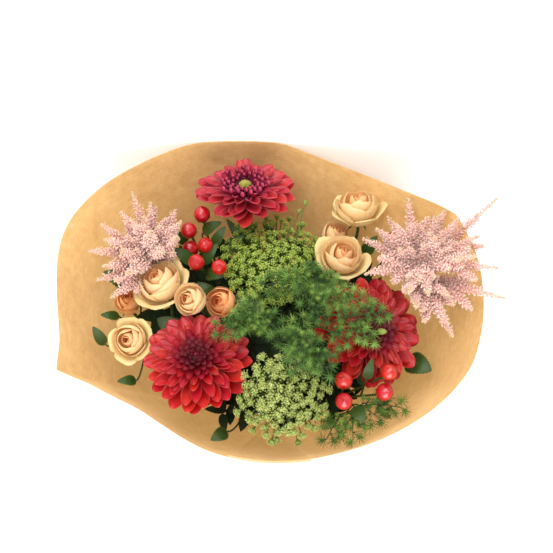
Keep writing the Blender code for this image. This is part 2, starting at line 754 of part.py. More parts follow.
def stalked_leaf(stalks, base, tip, width):
    """A leaf with the petiole that joins it to the nearest stalk."""
    base, tip = Vector(base), Vector(tip)
    below = base - Vector((0, 0, 26))
    root = min((nearest_on(path, below) for path in stalks), key=lambda spot: (spot - below).length)
    along = (tip - base).normalized()
    middle = mix(root, base, 0.55) + Vector((0, 0, 3))
    facing = (Vector((0, -0.3, 1)) - along * along.z).normalized()
    return [tube([root, middle, base + along * 3], (1.2, 1.1, 1.0), 3),
            toothed_leaf(base, tip, width, facing)]


def clear_leaves(stalks, leaves):
    """Pieces of the leaves that cross nothing."""
    kept = []
    for leaf in leaves:
        pieces = stalked_leaf(stalks, *leaf)
        if all(is_clear(piece) for piece in pieces):
            kept += pieces
    return kept


def build_rose_spray(name):
    """Branching stem of a rose spray, with a green cup of sepals under each bloom, and leaves."""
    blooms, fork, leaves = SPRAYS[name]
    fork = Vector(fork)
    main = stem_path(name, fork, Vector((0, 0, 1)), steps=4, lift=55)
    body = [tube(main, stem_radii(name, len(main), 2.2), 5)]
    stalks = [main]
    for index, bloom in enumerate(blooms):
        base, axis = rose_base(bloom, 2.8)
        root = mix(main[-2], fork, 0.95 - 0.25 * index)
        along = (fork - main[-2]).normalized()
        stalk = [bezier(root, root + along * 18, base - axis * 24, base, share)
                 for share in (0.0, 0.35, 0.7, 1.0)]
        stalks.append(stalk)
        body.append(tube(stalk, (1.9, 1.6, 1.5, 1.7), 3))
        size = ROSES[bloom][3]
        body.append(star(5, size * 0.24 + 1.5, pose(base, axis), 0.45, -1.5, 2.45, -3.2))
    grow(name + "_spray", "leaf_green", body + clear_leaves(stalks, leaves))


# ---------------------------------------------------------------- umbels

UMBELS = {  # centre, lean and clock angle of the face, radius, number of umbellets
    "umbel_1": ((2, 44, 228), 4, 90, 49.0, 22),
    "umbel_2": ((11, -97, 242), 38, 270, 40.0, 20),
}
UMBEL_RAYS = 9
UMBELLET_SHARE = 0.215              # radius of an umbellet, relative to its head
UMBEL_DOME = 7.0                    # how far the head's edge lies below its middle
UMBELLET_SPREAD = 0.9               # the outermost umbellets' share of the head's radius
UMBELLET_LIFTS = (1.5, 4.0, 0.0, 6.0)
UMBELLET_LOBES = 5
UMBELLET_ROOT = 7.0                 # depth that an umbellet is rooted to in the rays
FUNNEL = ((0.06, -0.86), (0.5, -0.42), (0.92, -0.16))       # radius and height, by the head's radius
FLUTE_DEPTH = 0.22                  # of the gaps between the rays, by the funnel's radius


def umbellet(centre, axis, radius):
    """Lobed cushion of tiny florets."""
    matrix = pose(centre, axis)
    rim = []
    for corner in range(2 * UMBELLET_LOBES):
        lobe = corner % 2 == 1
        reach = radius if lobe else radius * 0.7
        rim.append(matrix @ polar(reach, math.pi * corner / UMBELLET_LOBES, 0.8 if lobe else -0.8))
    return loft([rim], matrix @ Vector((0, 0, -UMBELLET_ROOT)), matrix @ Vector((0, 0, 2.6)))


def ray_funnel(radius, matrix):
    """The rays under an umbel, drawn as the ribs of a fluted funnel that opens from the stem."""
    rings = []
    for share, height in FUNNEL:
        ring = []
        for corner in range(2 * UMBEL_RAYS):
            reach = radius * share * (1 if corner % 2 else 1 - FLUTE_DEPTH)
            ring.append(matrix @ polar(reach, math.pi * corner / UMBEL_RAYS, radius * height))
        rings.append(ring)
    return loft(rings, matrix @ Vector((0, 0, -0.9 * radius)), matrix @ Vector((0, 0, -1.0)))


def build_umbel(name):
    """Flat-topped head of lobed umbellets over its fluted funnel of rays, on its stem."""
    centre, lean, toward, radius, count = UMBELS[name]
    axis = direction(lean, toward)
    matrix = pose(centre, axis)
    hub = matrix @ Vector((0, 0, -0.8 * radius))
    path = stem_path(name, hub, axis)
    stalk = tube(path, stem_radii(name, len(path), 2.1), 5)
    heads = []
    for index in range(count):
        out = radius * UMBELLET_SPREAD * math.sqrt((index + 0.5) / count)
        angle = index * GOLDEN_ANGLE
        versions = []
        for lift in UMBELLET_LIFTS:
            spot = matrix @ polar(out, angle, lift - UMBEL_DOME * (out / radius) ** 2)
            outward = (spot - hub).normalized()
            versions.append(umbellet(spot, outward, UMBELLET_SHARE * radius))
        heads.append(versions)
    grow(name, "umbel_green", [stalk, ray_funnel(radius, matrix)], heads)


# ---------------------------------------------------------------- hypericum berries

BERRIES = {  # stem -> centres of its berries
    "hypericum_1": ((-60, 84, 231), (-71, 67, 232), (-56, 50, 236), (-70, 56, 219), (-63, 31, 240),
                    (-43, 24, 244)),
    "hypericum_2": ((60, -80, 243), (60, -97, 240), (97, -73, 244), (94, -85, 231)),
}
BERRY_RADIUS = 7.4
BERRY_PROFILE = ((0, -1.0), (0.72, -0.72), (0.98, 0.05), (0.62, 0.78), (0, 1.25))   # by the radius
HYPERICUM_FORKS = {"hypericum_1": (-44, 46, 168), "hypericum_2": (62, -66, 178)}
HYPERICUM_LEAVES = {
    "hypericum_1": (((-60, 76, 212), (-44, 78, 228), 11), ((-66, 44, 214), (-84, 50, 230), 12)),
    "hypericum_2": (((70, -92, 216), (76, -110, 228), 12),),
}


def berry_radius(index):
    """Berries differ a little in size."""
    return BERRY_RADIUS * (1 - 0.04 * (index % 3))


def berry_axis(stem, centre):
    """A berry points away from its fork, and a little up."""
    return (Vector(centre) - Vector(HYPERICUM_FORKS[stem]) + Vector((0, 0, 30))).normalized()


def build_berries(stem):
    """Glossy egg-shaped berries with a short point, each a node of its own."""
    for index, centre in enumerate(BERRIES[stem]):
        matrix = pose(centre, berry_axis(stem, centre)) @ Matrix.Scale(berry_radius(index), 4)
        grow(f"{stem}_berry_{index + 1}", "berry_red", [lathe(BERRY_PROFILE, 8, matrix)])


def build_hypericum(stem):
    """Forked stem with a collar of sepals under each berry, and narrow leaves."""
    fork = Vector(HYPERICUM_FORKS[stem])
    main = stem_path(stem, fork, Vector((0, 0, 1)), steps=4, lift=55)
    body = [tube(main, stem_radii(stem, len(main), 1.7), 5)]
    stalks = [main]
    for index, centre in enumerate(BERRIES[stem]):
        radius = berry_radius(index)
        axis = berry_axis(stem, centre)
        end = Vector(centre) - axis * (radius + TOUCH_GAP + 0.9)
        middle = mix(fork, end, 0.5) - axis * 6 + Vector((0, 0, 4))
        root = mix(main[-2], fork, 0.98 * (index + 1) / len(BERRIES[stem]))
        stalk = [root, middle, end]
        stalks.append(stalk)
        body.append(tube(stalk, (1.2, 1.1, 1.2), 3))
        body.append(star(4, 7.5, pose(end, axis), 0.3, 0.6, 0.8, -2.0))
    grow(stem + "_stem", "leaf_green", body + clear_leaves(stalks, HYPERICUM_LEAVES[stem]))


# ---------------------------------------------------------------- astilbe

ASTILBES = {  # base of the plume, its hub, and the tips of its feathery spikes
    "astilbe_1": ((-97, 37, 178), (-103, 44, 222),
                  ((-121, 99, 244), (-104, 84, 252), (-82, 80, 246), (-76, 62, 256), (-79, 44, 262),
                   (-147, 67, 244), (-141, 46, 254), (-156, 43, 238), (-141, 22, 250), (-147, 16, 236),
                   (-117, 57, 268), (-101, 44, 272), (-124, 30, 266))),
    "astilbe_2": ((119, 30, 190), (130, 32, 230),
                  ((196, 85, 256), (177, 45, 262), (172, 22, 268), (191, 17, 256), (199, -10, 252),
                   (120, 90, 248), (101, 69, 252), (90, 52, 260), (146, 69, 254), (161, 62, 262),
                   (114, -14, 272), (130, -13, 266), (148, -11, 260), (147, -35, 254))),
}
SPIKE_STEPS = (0.05, 0.3, 0.55, 0.78, 1.0)
SPIKE_RADII = (2.2, 4.2, 4.0, 3.0, 1.3)
SPIKE_BENDS = ((5, 1.0), (14, 1.0), (24, 1.0), (5, 0.85), (18, 0.8))     # arch, and share of its reach
PLUME_STALK = (2.4, 3.0, 3.2, 1.5)


def spike(root, tip, arch, share):
    """One feathery side branch, arching up by so much and reaching a share of the way to its tip."""
    tip = mix(root, tip, share)
    bend = mix(root, tip, 0.45) + Vector((0, 0, arch))
    path = [bezier(root, mix(root, bend, 0.8), bend, tip, step) for step in SPIKE_STEPS]
    return tube(path, SPIKE_RADII, 4, 0.3)


def build_astilbe(name):
    """Plume of one astilbe: spikes crowded with florets, from a common hub."""
    base, hub, tips = ASTILBES[name]
    base, hub = Vector(base), Vector(hub)
    top = hub + (hub - base) * 0.25
    body = [tube([base, mix(base, hub, 0.5), hub, top], PLUME_STALK, 6, 0.15)]
    spikes = []
    for index, tip in enumerate(tips):
        root = mix(base, hub, 0.45 + 0.55 * (index % 4) / 3)
        spikes.append([spike(root, Vector(tip), arch, share) for arch, share in SPIKE_BENDS])
    grow(name + "_plume", "astilbe_pink", body, spikes)


def build_astilbe_stem(name):
    base, hub, _ = ASTILBES[name]
    base, hub = Vector(base), Vector(hub)
    axis = (hub - base).normalized()
    path = stem_path(name, base - axis * 2 * TOUCH_GAP, axis, steps=4, lift=55)
    grow(name + "_stem", "stem_green", [tube(path, stem_radii(name, len(path), 2.0), 5)])


# ---------------------------------------------------------------- asparagus ferns

FERNS = {  # fern -> fork of its stem, and the ends of its sprays of needles
    "fern_1": ((33, -26, 238), ((43, -35, 268), (54, -22, 274), (66, -42, 278), (80, -56, 276),
                               (57, -58, 270), (88, -40, 280), (74, -22, 276))),
    "fern_2": ((34, 6, 205), ((25, 7, 268), (44, 9, 272), (62, 10, 272), (30, -10, 268),
                             (50, -6, 274), (4, 2, 262))),
    "fern_3": ((22, -52, 205), ((25, -38, 256), (12, -52, 260), (35, -61, 266), (44, -80, 272),
                               (25, -76, 270))),
    "fern_4": ((-14, -22, 222), ((0, -36, 252), (-24, -30, 254), (-34, -44, 258), (-12, -18, 248))),
    "fern_5": ((66, -82, 176), ((84, -99, 217), (103, -88, 211), (70, -112, 214), (50, -112, 212))),
}
SHOOT_RADIUS = 1.15
SHOOT_LENGTH = 17.0                 # prickly end of a shoot
SHOOT_STEPS = 6
BARE_STEPS = 2
NEEDLE_REACH = 9.5
NEEDLE_LEAN = 4.5
# How a shoot may bend aside: length of its needles, and lift of its end
SHOOT_BENDS = ((1.0, 0), (1.0, 7), (0.75, 0), (0.75, 10), (0.5, 0), (0.6, 18))


def fern_shoot(root, end, needle_share):
    """Branchlet from the stem to its end, with needles along its last stretch."""
    along = ((end - root).normalized() + Vector((0, -0.25, 0.2))).normalized()
    joint = end - along * SHOOT_LENGTH
    bend = mix(root, joint, 0.55) + Vector((0, 0, 5))
    path = [root, bend] + [mix(joint, end, step / SHOOT_STEPS) for step in range(SHOOT_STEPS + 1)]
    return prickly_shoot(path, SHOOT_RADIUS, BARE_STEPS, NEEDLE_REACH * needle_share, NEEDLE_LEAN)


def build_fern(name):
    """Asparagus fern: a forked stem whose branchlets end in sprays of needles."""
    fork, ends = FERNS[name]
    fork = Vector(fork)
    main = stem_path(name, fork, Vector((0, 0, 1)), steps=5, lift=60)
    shoots = []
    for index, end in enumerate(ends):
        root = mix(main[-2], fork, 0.98 * (index + 1) / len(ends))
        shoots.append([fern_shoot(root, Vector(end) + Vector((0, 0, lift)), share)
                       for share, lift in SHOOT_BENDS])
    grow(name, "fern_green", [tube(main, stem_radii(name, len(main), 1.3), 4)], shoots)


# ---------------------------------------------------------------- the whole bouquet

def main():
    for thing in list(bpy.data.objects):
        bpy.data.objects.remove(thing)
    build_paper()
    build_twine()
    for name in ROSES:
        build_rose(name)
    for stem in BERRIES:
        build_berries(stem)
        build_hypericum(stem)
    for name in DAHLIAS:
        build_dahlia(name)
    for name in OPEN_DAHLIAS:
        build_dahlia_eye(name)
    for name in DAHLIAS:
        build_dahlia_stem(name)
    for name in SPRAYS:
        build_rose_spray(name)
    for name in ASTILBES:
        build_astilbe_stem(name)
    for name in UMBELS:
        build_umbel(name)
    for name in ASTILBES:
        build_astilbe(name)
    for name in FERNS:
        build_fern(name)


main()
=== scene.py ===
"""Looks of a hand-tied bouquet of mixed flowers in a rolled sheet of kraft paper.

Everything is laid out in the bouquet's own frame, in millimetres: its origin is where the twine
ties the stems, u runs across the bunch, v from its front to its back, and w up the stems to the
heads. LAY_DOWN turns the bunch onto its back, as the CAD part lies. Each fine piece stands in the
space of the CAD node that it replaces. Clock angles are in degrees, around w from u toward v.
"""

import json
import math

import bpy
import numpy as np
from mathutils import Matrix, Vector
from mathutils.geometry import intersect_point_line

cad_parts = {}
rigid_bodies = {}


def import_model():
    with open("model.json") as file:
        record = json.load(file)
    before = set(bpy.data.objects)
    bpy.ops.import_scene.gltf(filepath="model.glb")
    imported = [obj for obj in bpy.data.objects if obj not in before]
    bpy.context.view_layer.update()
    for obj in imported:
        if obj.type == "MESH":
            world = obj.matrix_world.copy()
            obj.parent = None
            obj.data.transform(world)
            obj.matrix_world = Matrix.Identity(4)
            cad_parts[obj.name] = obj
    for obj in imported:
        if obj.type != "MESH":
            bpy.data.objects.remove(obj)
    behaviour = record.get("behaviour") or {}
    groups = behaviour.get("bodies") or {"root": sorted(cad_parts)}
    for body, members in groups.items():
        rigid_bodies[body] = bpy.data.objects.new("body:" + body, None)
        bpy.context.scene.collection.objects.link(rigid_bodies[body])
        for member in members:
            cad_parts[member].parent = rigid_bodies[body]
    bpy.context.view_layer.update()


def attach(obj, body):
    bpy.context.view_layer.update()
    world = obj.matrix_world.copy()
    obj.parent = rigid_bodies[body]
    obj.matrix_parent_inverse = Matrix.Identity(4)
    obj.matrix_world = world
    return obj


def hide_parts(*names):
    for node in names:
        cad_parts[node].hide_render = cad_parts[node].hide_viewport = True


for thing in list(bpy.data.objects):
    bpy.data.objects.remove(thing)
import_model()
SEED = 7
rng = np.random.default_rng(SEED)

PER_METRE = 1000.0
FULL_TURN = 2 * math.pi
GOLDEN = math.pi * (3 - math.sqrt(5))
STEM_RISE = math.radians(16)        # angle of the bunch's axis above the table
TABLE_DEPTH = 84.0                  # from the tie's centre down to the table
CENTRE_SHIFT = (8.0, 55.5)          # brings the middle of the footprint to the origin
UP = Vector((0, 0, 1))


def lay_down_matrix():
    """From the bouquet's frame in millimetres to the laid-down part in metres."""
    rise, fall = math.sin(STEM_RISE), math.cos(STEM_RISE)
    turn = Matrix(((-1, 0, 0, CENTRE_SHIFT[0]),
                   (0, -rise, -fall, CENTRE_SHIFT[1]),
                   (0, -fall, rise, TABLE_DEPTH),
                   (0, 0, 0, 1)))
    return Matrix.Scale(1 / PER_METRE, 4) @ turn


LAY_DOWN = lay_down_matrix()


# ---------------------------------------------------------------- vectors and frames

def unit(rows):
    """Rows of vectors, each made one long."""
    rows = np.asarray(rows, float)
    return rows / np.maximum(np.linalg.norm(rows, axis=-1, keepdims=True), 1e-9)


def direction(lean, toward):
    """Unit vector that leans from the bunch's axis toward a clock angle, both in degrees."""
    lean, toward = math.radians(lean), math.radians(toward)
    return Vector((math.sin(lean) * math.cos(toward), math.sin(lean) * math.sin(toward),
                   math.cos(lean)))


def pose(centre, axis, spin=0.0):
    """Matrix that stands local z along an axis, with local origin at the centre."""
    turn = UP.rotation_difference(Vector(axis)).to_matrix().to_4x4()
    return Matrix.Translation(Vector(centre)) @ turn @ Matrix.Rotation(spin, 4, "Z")


def polar(radius, angle, height=0.0):
    """Point at a radius and an angle, in radians, around w."""
    return Vector((radius * math.cos(angle), radius * math.sin(angle), height))


def mix(first, second, share):
    """Value or point a share of the way from the first to the second."""
    return first + (second - first) * share


def bezier(start, near_start, near_end, end, count):
    """Points of a cubic curve, as rows."""
    share = np.linspace(0, 1, count)[:, None]
    rest = 1 - share
    start, near_start, near_end, end = (np.array(point, float) for point in
                                        (start, near_start, near_end, end))
    return (start * rest ** 3 + near_start * 3 * rest * rest * share
            + near_end * 3 * rest * share * share + end * share ** 3)


def along_path(path):
    """Unit vectors along a path at each of its points."""
    return unit(np.gradient(np.asarray(path, float), axis=0))


def across_frames(path):
    """Two directions square to the path at each point, carried along without twist."""
    along = along_path(path)
    side = np.array(Vector(along[0]).orthogonal().normalized())
    sides = []
    for step in along:
        side = side - step * side.dot(step)
        side = side / np.linalg.norm(side)
        sides.append(side)
    sides = np.array(sides)
    return sides, np.cross(along, sides)


def moved(points, matrix):
    """Rows of points through a 4 by 4 matrix."""
    turn = np.array(matrix)
    return points @ turn[:3, :3].T + turn[:3, 3]


def eased(share):
    """Share from 0 to 1 that starts and ends slowly."""
    return share * share * (3 - 2 * share)


def smooth(value, low, high):
    """Eased step from 0 at low to 1 at high."""
    return eased(np.clip((np.asarray(value, float) - low) / (high - low), 0, 1))


def cylindrical(radius, angle, height=0.0):
    """Points at radii, angles and heights around w, as an array with a last axis of 3."""
    return np.stack(np.broadcast_arrays(radius * np.cos(angle), radius * np.sin(angle), height), -1)


# ---------------------------------------------------------------- meshes

class Heap:
    """One mesh gathered from many small forms.

    A form is (points, faces, places, tone): places are its map coordinates, and tone is where each
    point lies on its material's colour ramp. Every form also gets one random number, vary, that
    shifts its colour a little.
    """

    def __init__(self):
        self.points, self.maps, self.tones, self.varies = [], [], [], []
        self.corners, self.sizes = [], []
        self.count = 0

    def add(self, form, vary=None):
        """Takes in a form. Its vary is random if none is given."""
        points, faces, places, tone = form
        total = len(points)
        self.points.append(points)
        self.maps.append(places)
        self.tones.append(np.broadcast_to(tone, total))
        self.varies.append(np.full(total, rng.random() if vary is None else vary))
        for group in faces:
            self.corners.append((group + self.count).ravel())
            self.sizes.append(np.full(len(group), group.shape[1]))
        self.count += total

    def scatter(self, form, spots, turns, tones):
        """Copies of a small form at rows of spots, each turned and scaled by a 3 by 3 matrix."""
        points, faces, places, tone = form
        copies, total = len(spots), len(points)
        turned = np.einsum("cij,pj->cpi", turns, points)
        self.points.append((turned + spots[:, None]).reshape(-1, 3))
        self.maps.append(np.tile(places, (copies, 1)))
        self.tones.append((np.broadcast_to(tone, total)[None] + tones[:, None]).ravel())
        self.varies.append(np.repeat(rng.random(copies), total))
        starts = self.count + np.arange(copies) * total
        for group in faces:
            self.corners.append((group[None] + starts[:, None, None]).ravel())
            self.sizes.append(np.full(len(group) * copies, group.shape[1]))
        self.count += copies * total

    def dress(self, node, material, slot):
        """Object of the gathered forms in place of one CAD node, and named after it."""
        self.build(node + "_fine", material, (node,))

    def build(self, name, material, nodes=()):
        """Object of the gathered forms, laid down with the part, in place of its CAD nodes."""
        mesh = bpy.data.meshes.new(name)
        corners = np.concatenate(self.corners).astype(np.int32)
        sizes = np.concatenate(self.sizes)
        mesh.vertices.add(self.count)
        mesh.loops.add(len(corners))
        mesh.polygons.add(len(sizes))
        mesh.vertices.foreach_set("co", moved(np.concatenate(self.points), LAY_DOWN).ravel())
        mesh.loops.foreach_set("vertex_index", corners)
        starts = np.concatenate([[0], np.cumsum(sizes)[:-1]]).astype(np.int32)
        mesh.polygons.foreach_set("loop_start", starts)
        mesh.update(calc_edges=True)
        places = np.concatenate(self.maps)[corners]
        mesh.uv_layers.new(name="UVMap").data.foreach_set("uv", places.ravel())
        for label, rows in (("tone", self.tones), ("vary", self.varies)):
            layer = mesh.attributes.new(label, "FLOAT", "POINT")
            layer.data.foreach_set("value", np.concatenate(rows).astype(np.float32))
        mesh.shade_smooth()
        mesh.materials.append(material)
        thing = show(name, mesh)
        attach(thing, "root")
        if nodes:
            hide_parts(*nodes)
        return thing


def grid(points, tone=0.0, closed=False):
    """Form of a sheet from (rows, columns, 3) points. Closed, its last column meets its first."""
    rows, columns = points.shape[:2]
    index = np.arange(rows * columns).reshape(rows, columns)
    after = np.roll(index, -1, axis=1) if closed else index[:, 1:]
    before = index if closed else index[:, :-1]
    faces = np.stack([before[:-1], after[:-1], after[1:], before[1:]], -1).reshape(-1, 4)
    across, along = np.meshgrid(np.linspace(0, 1, columns), np.linspace(0, 1, rows))
    if not np.isscalar(tone):
        tone = np.broadcast_to(tone, (rows, columns)).ravel()
    return points.reshape(-1, 3), [faces], np.stack([across, along], -1).reshape(-1, 2), tone


def placed(form, matrix):
    """The form, moved by a matrix."""
    return (moved(form[0], matrix), *form[1:])


def round_angles(count):
    """Angles evenly around a turn."""
    return np.arange(count) * FULL_TURN / count


def tube(path, radii, sides, tone=0.0, bump=None):
    """Form of a round stalk, closed to a point at both ends."""
    path = np.asarray(path, float)
    path = np.concatenate([path[:1], path, path[-1:]])
    side, other = across_frames(path[1:-1])
    side, other = (np.concatenate([rows[:1], rows, rows[-1:]]) for rows in (side, other))
    radii = np.concatenate([[0.0], np.broadcast_to(radii, len(path) - 2), [0.0]])
    angles = round_angles(sides)
    reach = radii[:, None] * (1 if bump is None else bump(angles[None]))
    points = path[:, None] + reach[..., None] * (side[:, None] * np.cos(angles)[:, None]
                                                 + other[:, None] * np.sin(angles)[:, None])
    return grid(points, tone, closed=True)


def lathe(profile, sides, matrix, tone=0.0):
    """Form turned around local z from (radius, height) rows."""
    profile = np.asarray(profile, float)
    points = cylindrical(profile[:, :1], round_angles(sides), profile[:, 1:])
    return placed(grid(points, tone, closed=True), matrix)


LEAF_RIPPLES = 2.5                  # half waves across a leaf's blade


def path_frame(path, normal):
    """Side and face directions of a sheet that runs along a path and faces along the normal."""
    along = along_path(path)
    side = unit(np.cross(along, normal))
    return side, np.cross(side, along)


def spread_sheet(path, side, face, out, lift, half):
    """Points of a sheet: out to the side and lifted off the path, both by its half width."""
    return path[:, None] + (side[:, None] * (out * half)[..., None]
                            + face[:, None] * (lift * half)[..., None])


def ribbon(path, widths, normal, roll, columns, ridge=0.0, tone=0.0, teeth=1.0):
    """Form of a leaf: a sheet along a path, bent across it by the roll, in radians."""
    side, face = path_frame(path, normal)
    across = np.linspace(-1, 1, columns)
    out = np.sin(across * roll) / roll * teeth
    lift = (1 - np.cos(across * roll)) / roll + ridge * np.cos(across * LEAF_RIPPLES * math.pi)
    return grid(spread_sheet(path, side, face, out, lift, widths[:, None] / 2), tone)


def turns_to(axes, spins=None, scales=1.0):
    """3 by 3 matrices that stand local z along rows of axes, spun and scaled.

    The spins are random if none are given.
    """
    axes = unit(axes)
    helper = np.where(np.abs(axes[:, 2:]) < 0.9, [[0.0, 0.0, 1.0]], [[1.0, 0.0, 0.0]])
    first = unit(np.cross(helper, axes))
    second = np.cross(axes, first)
    spins = rng.random(len(axes)) * FULL_TURN if spins is None else spins
    cosine, sine = np.cos(spins)[:, None], np.sin(spins)[:, None]
    turned = np.stack([first * cosine + second * sine, second * cosine - first * sine, axes], -1)
    return turned * np.broadcast_to(scales, len(axes))[:, None, None]


# ---------------------------------------------------------------- materials

GAMMA = 2.2
BUMP_DEPTH = 0.0006                 # metres
VEIN_COUNT = 9.0
VEIN_NARROWING = 3.0
VEIN_DEPTH = 0.6
HIGHLIGHT_NARROWING = 4.0                 # how fast the painted highlight on a petal's rim fades in from the side edges


def linear(colour):
    """Linear RGBA of an sRGB colour from 0 to 255."""
    return tuple((channel / 255) ** GAMMA for channel in colour) + (1.0,)


class Look:
    """A material under construction: each call adds a node and wires its inputs."""

    def __init__(self, name):
        self.material = bpy.data.materials.new(name)
        self.material.use_nodes = True
        self.tree = self.material.node_tree
        self.shader = self.tree.nodes["Principled BSDF"]
        self.end = self.tree.nodes["Material Output"]

    def wire(self, source, target):
        """Links an output to an input."""
        self.tree.links.new(source, target)

    def node(self, kind, settings=None, **inputs):
        """New node. Its inputs are sockets or values, by their name or as i and their number."""
        made = self.tree.nodes.new("ShaderNode" + kind)
        for key, value in (settings or {}).items():
            setattr(made, key, value)
        for key, value in inputs.items():
            numbered = key[0] == "i" and key[1:].isdigit()
            socket = made.inputs[int(key[1:]) if numbered else key.replace("_", " ")]
            if isinstance(value, bpy.types.NodeSocket):
                self.wire(value, socket)
            else:
                socket.default_value = value
        return made

    def math(self, operation, *values):
        """Output of a sum or another operation on sockets and numbers."""
        inputs = {f"i{index}": value for index, value in enumerate(values)}
        return self.node("Math", {"operation": operation}, **inputs).outputs[0]

    def attribute(self, name):
        """One of the numbers that a heap keeps for each point."""
        return self.node("Attribute", {"attribute_name": name}).outputs["Fac"]

    def coordinates(self, kind):
        """Object or map coordinates."""
        return self.node("TexCoord").outputs[kind]

    def noise(self, scale, detail=3.0, roughness=0.55, vector=None):
        """Noise over the object, or over other coordinates."""
        vector = vector or self.coordinates("Object")
        return self.node("TexNoise", Vector=vector, Scale=scale, Detail=detail,
                         Roughness=roughness).outputs["Fac"]

    def ramp(self, fac, stops):
        """Colour of a ramp of (place, sRGB colour) stops."""
        made = self.node("ValToRGB", Fac=fac)
        elements = made.color_ramp.elements
        while len(elements) < len(stops):
            elements.new(0.5)
        for element, (place, colour) in zip(elements, stops):
            element.position = place
            element.color = linear(colour)
        return made.outputs["Color"]

    def bump(self, height, strength, distance):
        """Relief on the shader, as deep as the distance in metres."""
        made = self.node("Bump", Strength=strength, Distance=distance, Height=height)
        self.wire(made.outputs[0], self.shader.inputs["Normal"])

    def blend(self, fac, first, second, mode="MIX"):
        """Colour between two others, each a socket or an sRGB colour."""
        first, second = (linear(colour) if isinstance(colour, tuple) else colour
                         for colour in (first, second))
        return self.node("MixRGB", {"blend_type": mode}, Fac=fac, Color1=first,
                         Color2=second).outputs[0]

    def finish(self, colour, roughness=None, glow=0.0, through=None, **sockets):
        """Colours the shader, and lets a share of the light through where it glows."""
        self.wire(colour, self.shader.inputs["Base Color"])
        if roughness:
            self.wire(roughness, self.shader.inputs["Roughness"])
        for key, value in sockets.items():
            self.shader.inputs[key.replace("_", " ")].default_value = value
        if glow:
            passed = self.node("BsdfTranslucent", Color=through or colour)
            both = self.node("MixShader", i0=glow, i1=self.shader.outputs[0], i2=passed.outputs[0])
            self.wire(both.outputs[0], self.end.inputs["Surface"])
        return self.material


def tinted(name, stops, roughness, glow, bump=0.25, veins=0.0, vary=0.12, hue=0.01, grain=0.12,
           scale=160.0, rim=None, highlight_tip=14.0, **sockets):
    """Material of petals, leaves and florets: a colour ramp, its veins, and small differences.

    Veins, vary, hue and grain are how far the colour strays. A rim is (strength, colour) of a
    painted highlight, where light catches the side edges and the tip.
    """
    look = Look(name)
    colour = look.ramp(look.attribute("tone"), stops)
    place = look.node("SeparateXYZ", Vector=look.coordinates("UV"))
    # Painted highlight: the rim colour stands in for light caught along the side edges and at the
    # tip.
    if rim:
        far = look.math("ABSOLUTE", look.math("MULTIPLY_ADD", place.outputs[0], 2.0, -1.0))
        edge = look.math("MAXIMUM", look.math("POWER", far, HIGHLIGHT_NARROWING),
                         look.math("POWER", place.outputs[1], highlight_tip))
        colour = look.blend(look.math("MULTIPLY", edge, rim[0]), colour, rim[1])
    noise = look.noise(scale, 4.0)
    shift = look.attribute("vary")
    value = look.math("MULTIPLY_ADD", shift, 2 * vary, 1 - vary)
    value = look.math("MULTIPLY_ADD", look.math("SUBTRACT", noise, 0.5), 2 * grain, value)
    height = noise
    if veins:
        wave = look.math("SINE", look.math("MULTIPLY", place.outputs[0], VEIN_COUNT * FULL_TURN))
        vein = look.math("POWER", look.math("MULTIPLY_ADD", wave, 0.5, 0.5), VEIN_NARROWING)
        value = look.math("MULTIPLY_ADD", vein, -veins, value)
        height = look.math("MULTIPLY_ADD", vein, -VEIN_DEPTH, noise)
    hues = look.math("MULTIPLY_ADD", look.math("SUBTRACT", shift, 0.5), 2 * hue, 0.5)
    tint = look.node("HueSaturation", Hue=hues, Value=value, Color=colour).outputs[0]
    if bump:
        look.bump(height, bump, BUMP_DEPTH)
    rough = look.math("MULTIPLY_ADD", noise, 0.2, roughness - 0.1)
    return look.finish(tint, rough, glow, **sockets)


# ---------------------------------------------------------------- kraft paper

PAPER_THICKNESS = 0.9
PAPER_START = 256.0                 # clock angle where the sheet starts, at the front
PAPER_OVERLAP = 28.0                # how far the sheet's end laps over its start, degrees
PAPER_LAP_GAP = 1.7                 # radial step between the two layers of the lap
PAPER_NECK = 15.2                   # inner radius at the tie
PAPER_TAIL = (-32.0, 7.0)           # how far below the tie the paper ends, and its flare there
PAPER_EDGE = 0.35                   # thickness at the rim and the tail
PAPER_SOFT = 1.4                    # how gradually the paper lifts off the table
PAPER_BELLY = 0.82                  # exponent of the trumpet's side: under 1 swells outward
TIE_BAND = 8.0                      # the stems run parallel over this height at the tie
# Rim of the paper: clock angle, radius, height above the tie. It is smooth except at its corners.
RIM_CORNERS = (25, 201)
RIM = (
    (0, 181, 230), (12, 181, 239), (25, 177, 246), (41, 153, 244), (60, 143, 240), (78, 147, 238),
    (96, 163, 237), (112, 167, 238), (130, 174, 238), (148, 184, 240), (161, 188, 238),
    (180, 179, 233), (192, 178, 232), (201, 186, 236), (208, 163, 225), (224, 141, 220),
    (251, 138, 216), (289, 143, 218), (308, 153, 222), (338, 176, 230), (349, 179, 230),
)
PAPER_CREASES = (  # clock angle, depth in mm, and how far up the sheet each one runs
    (8, 1.6, 0.8), (47, 1.9, 0.95), (66, -1.3, 0.7), (103, 1.5, 0.9), (139, -1.4, 0.8),
    (171, 1.8, 0.9), (206, -1.4, 0.85), (228, 1.7, 0.8), (302, 1.5, 0.85), (331, -1.3, 0.7),
)
CREASE_WIDTH = 3.2                  # degrees
GATHER_DEPTH = 1.9                  # of the folds at the neck
GATHERS_AT = 0.07                   # how far up the sheet they are deepest
PLEAT_DEPTH = 1.4                   # of the broader folds above them
RUFFLE_DEPTH = 0.9                  # of the tail below the tie
PAPER_COLUMNS = 460
PAPER_ROWS = 64
TAIL_ROWS = 11
ROW_BUNCHING = 1.15                 # above 1 the rows lie closer together near the neck
SHARP_FROM = math.radians(50)
HIDDEN_GLOW = 0.42                  # more light through where the lap hides a face
PAPER_BUMP = 0.0004                 # metres
KRAFT = ((0.42, (194, 150, 94)), (0.53, (212, 172, 115)), (0.62, (224, 188, 132)),
         (0.74, (238, 212, 166)))
KRAFT_FLECK = (150, 100, 60)
KRAFT_GLOW = (255, 236, 190)
WHITE = (255, 255, 255)


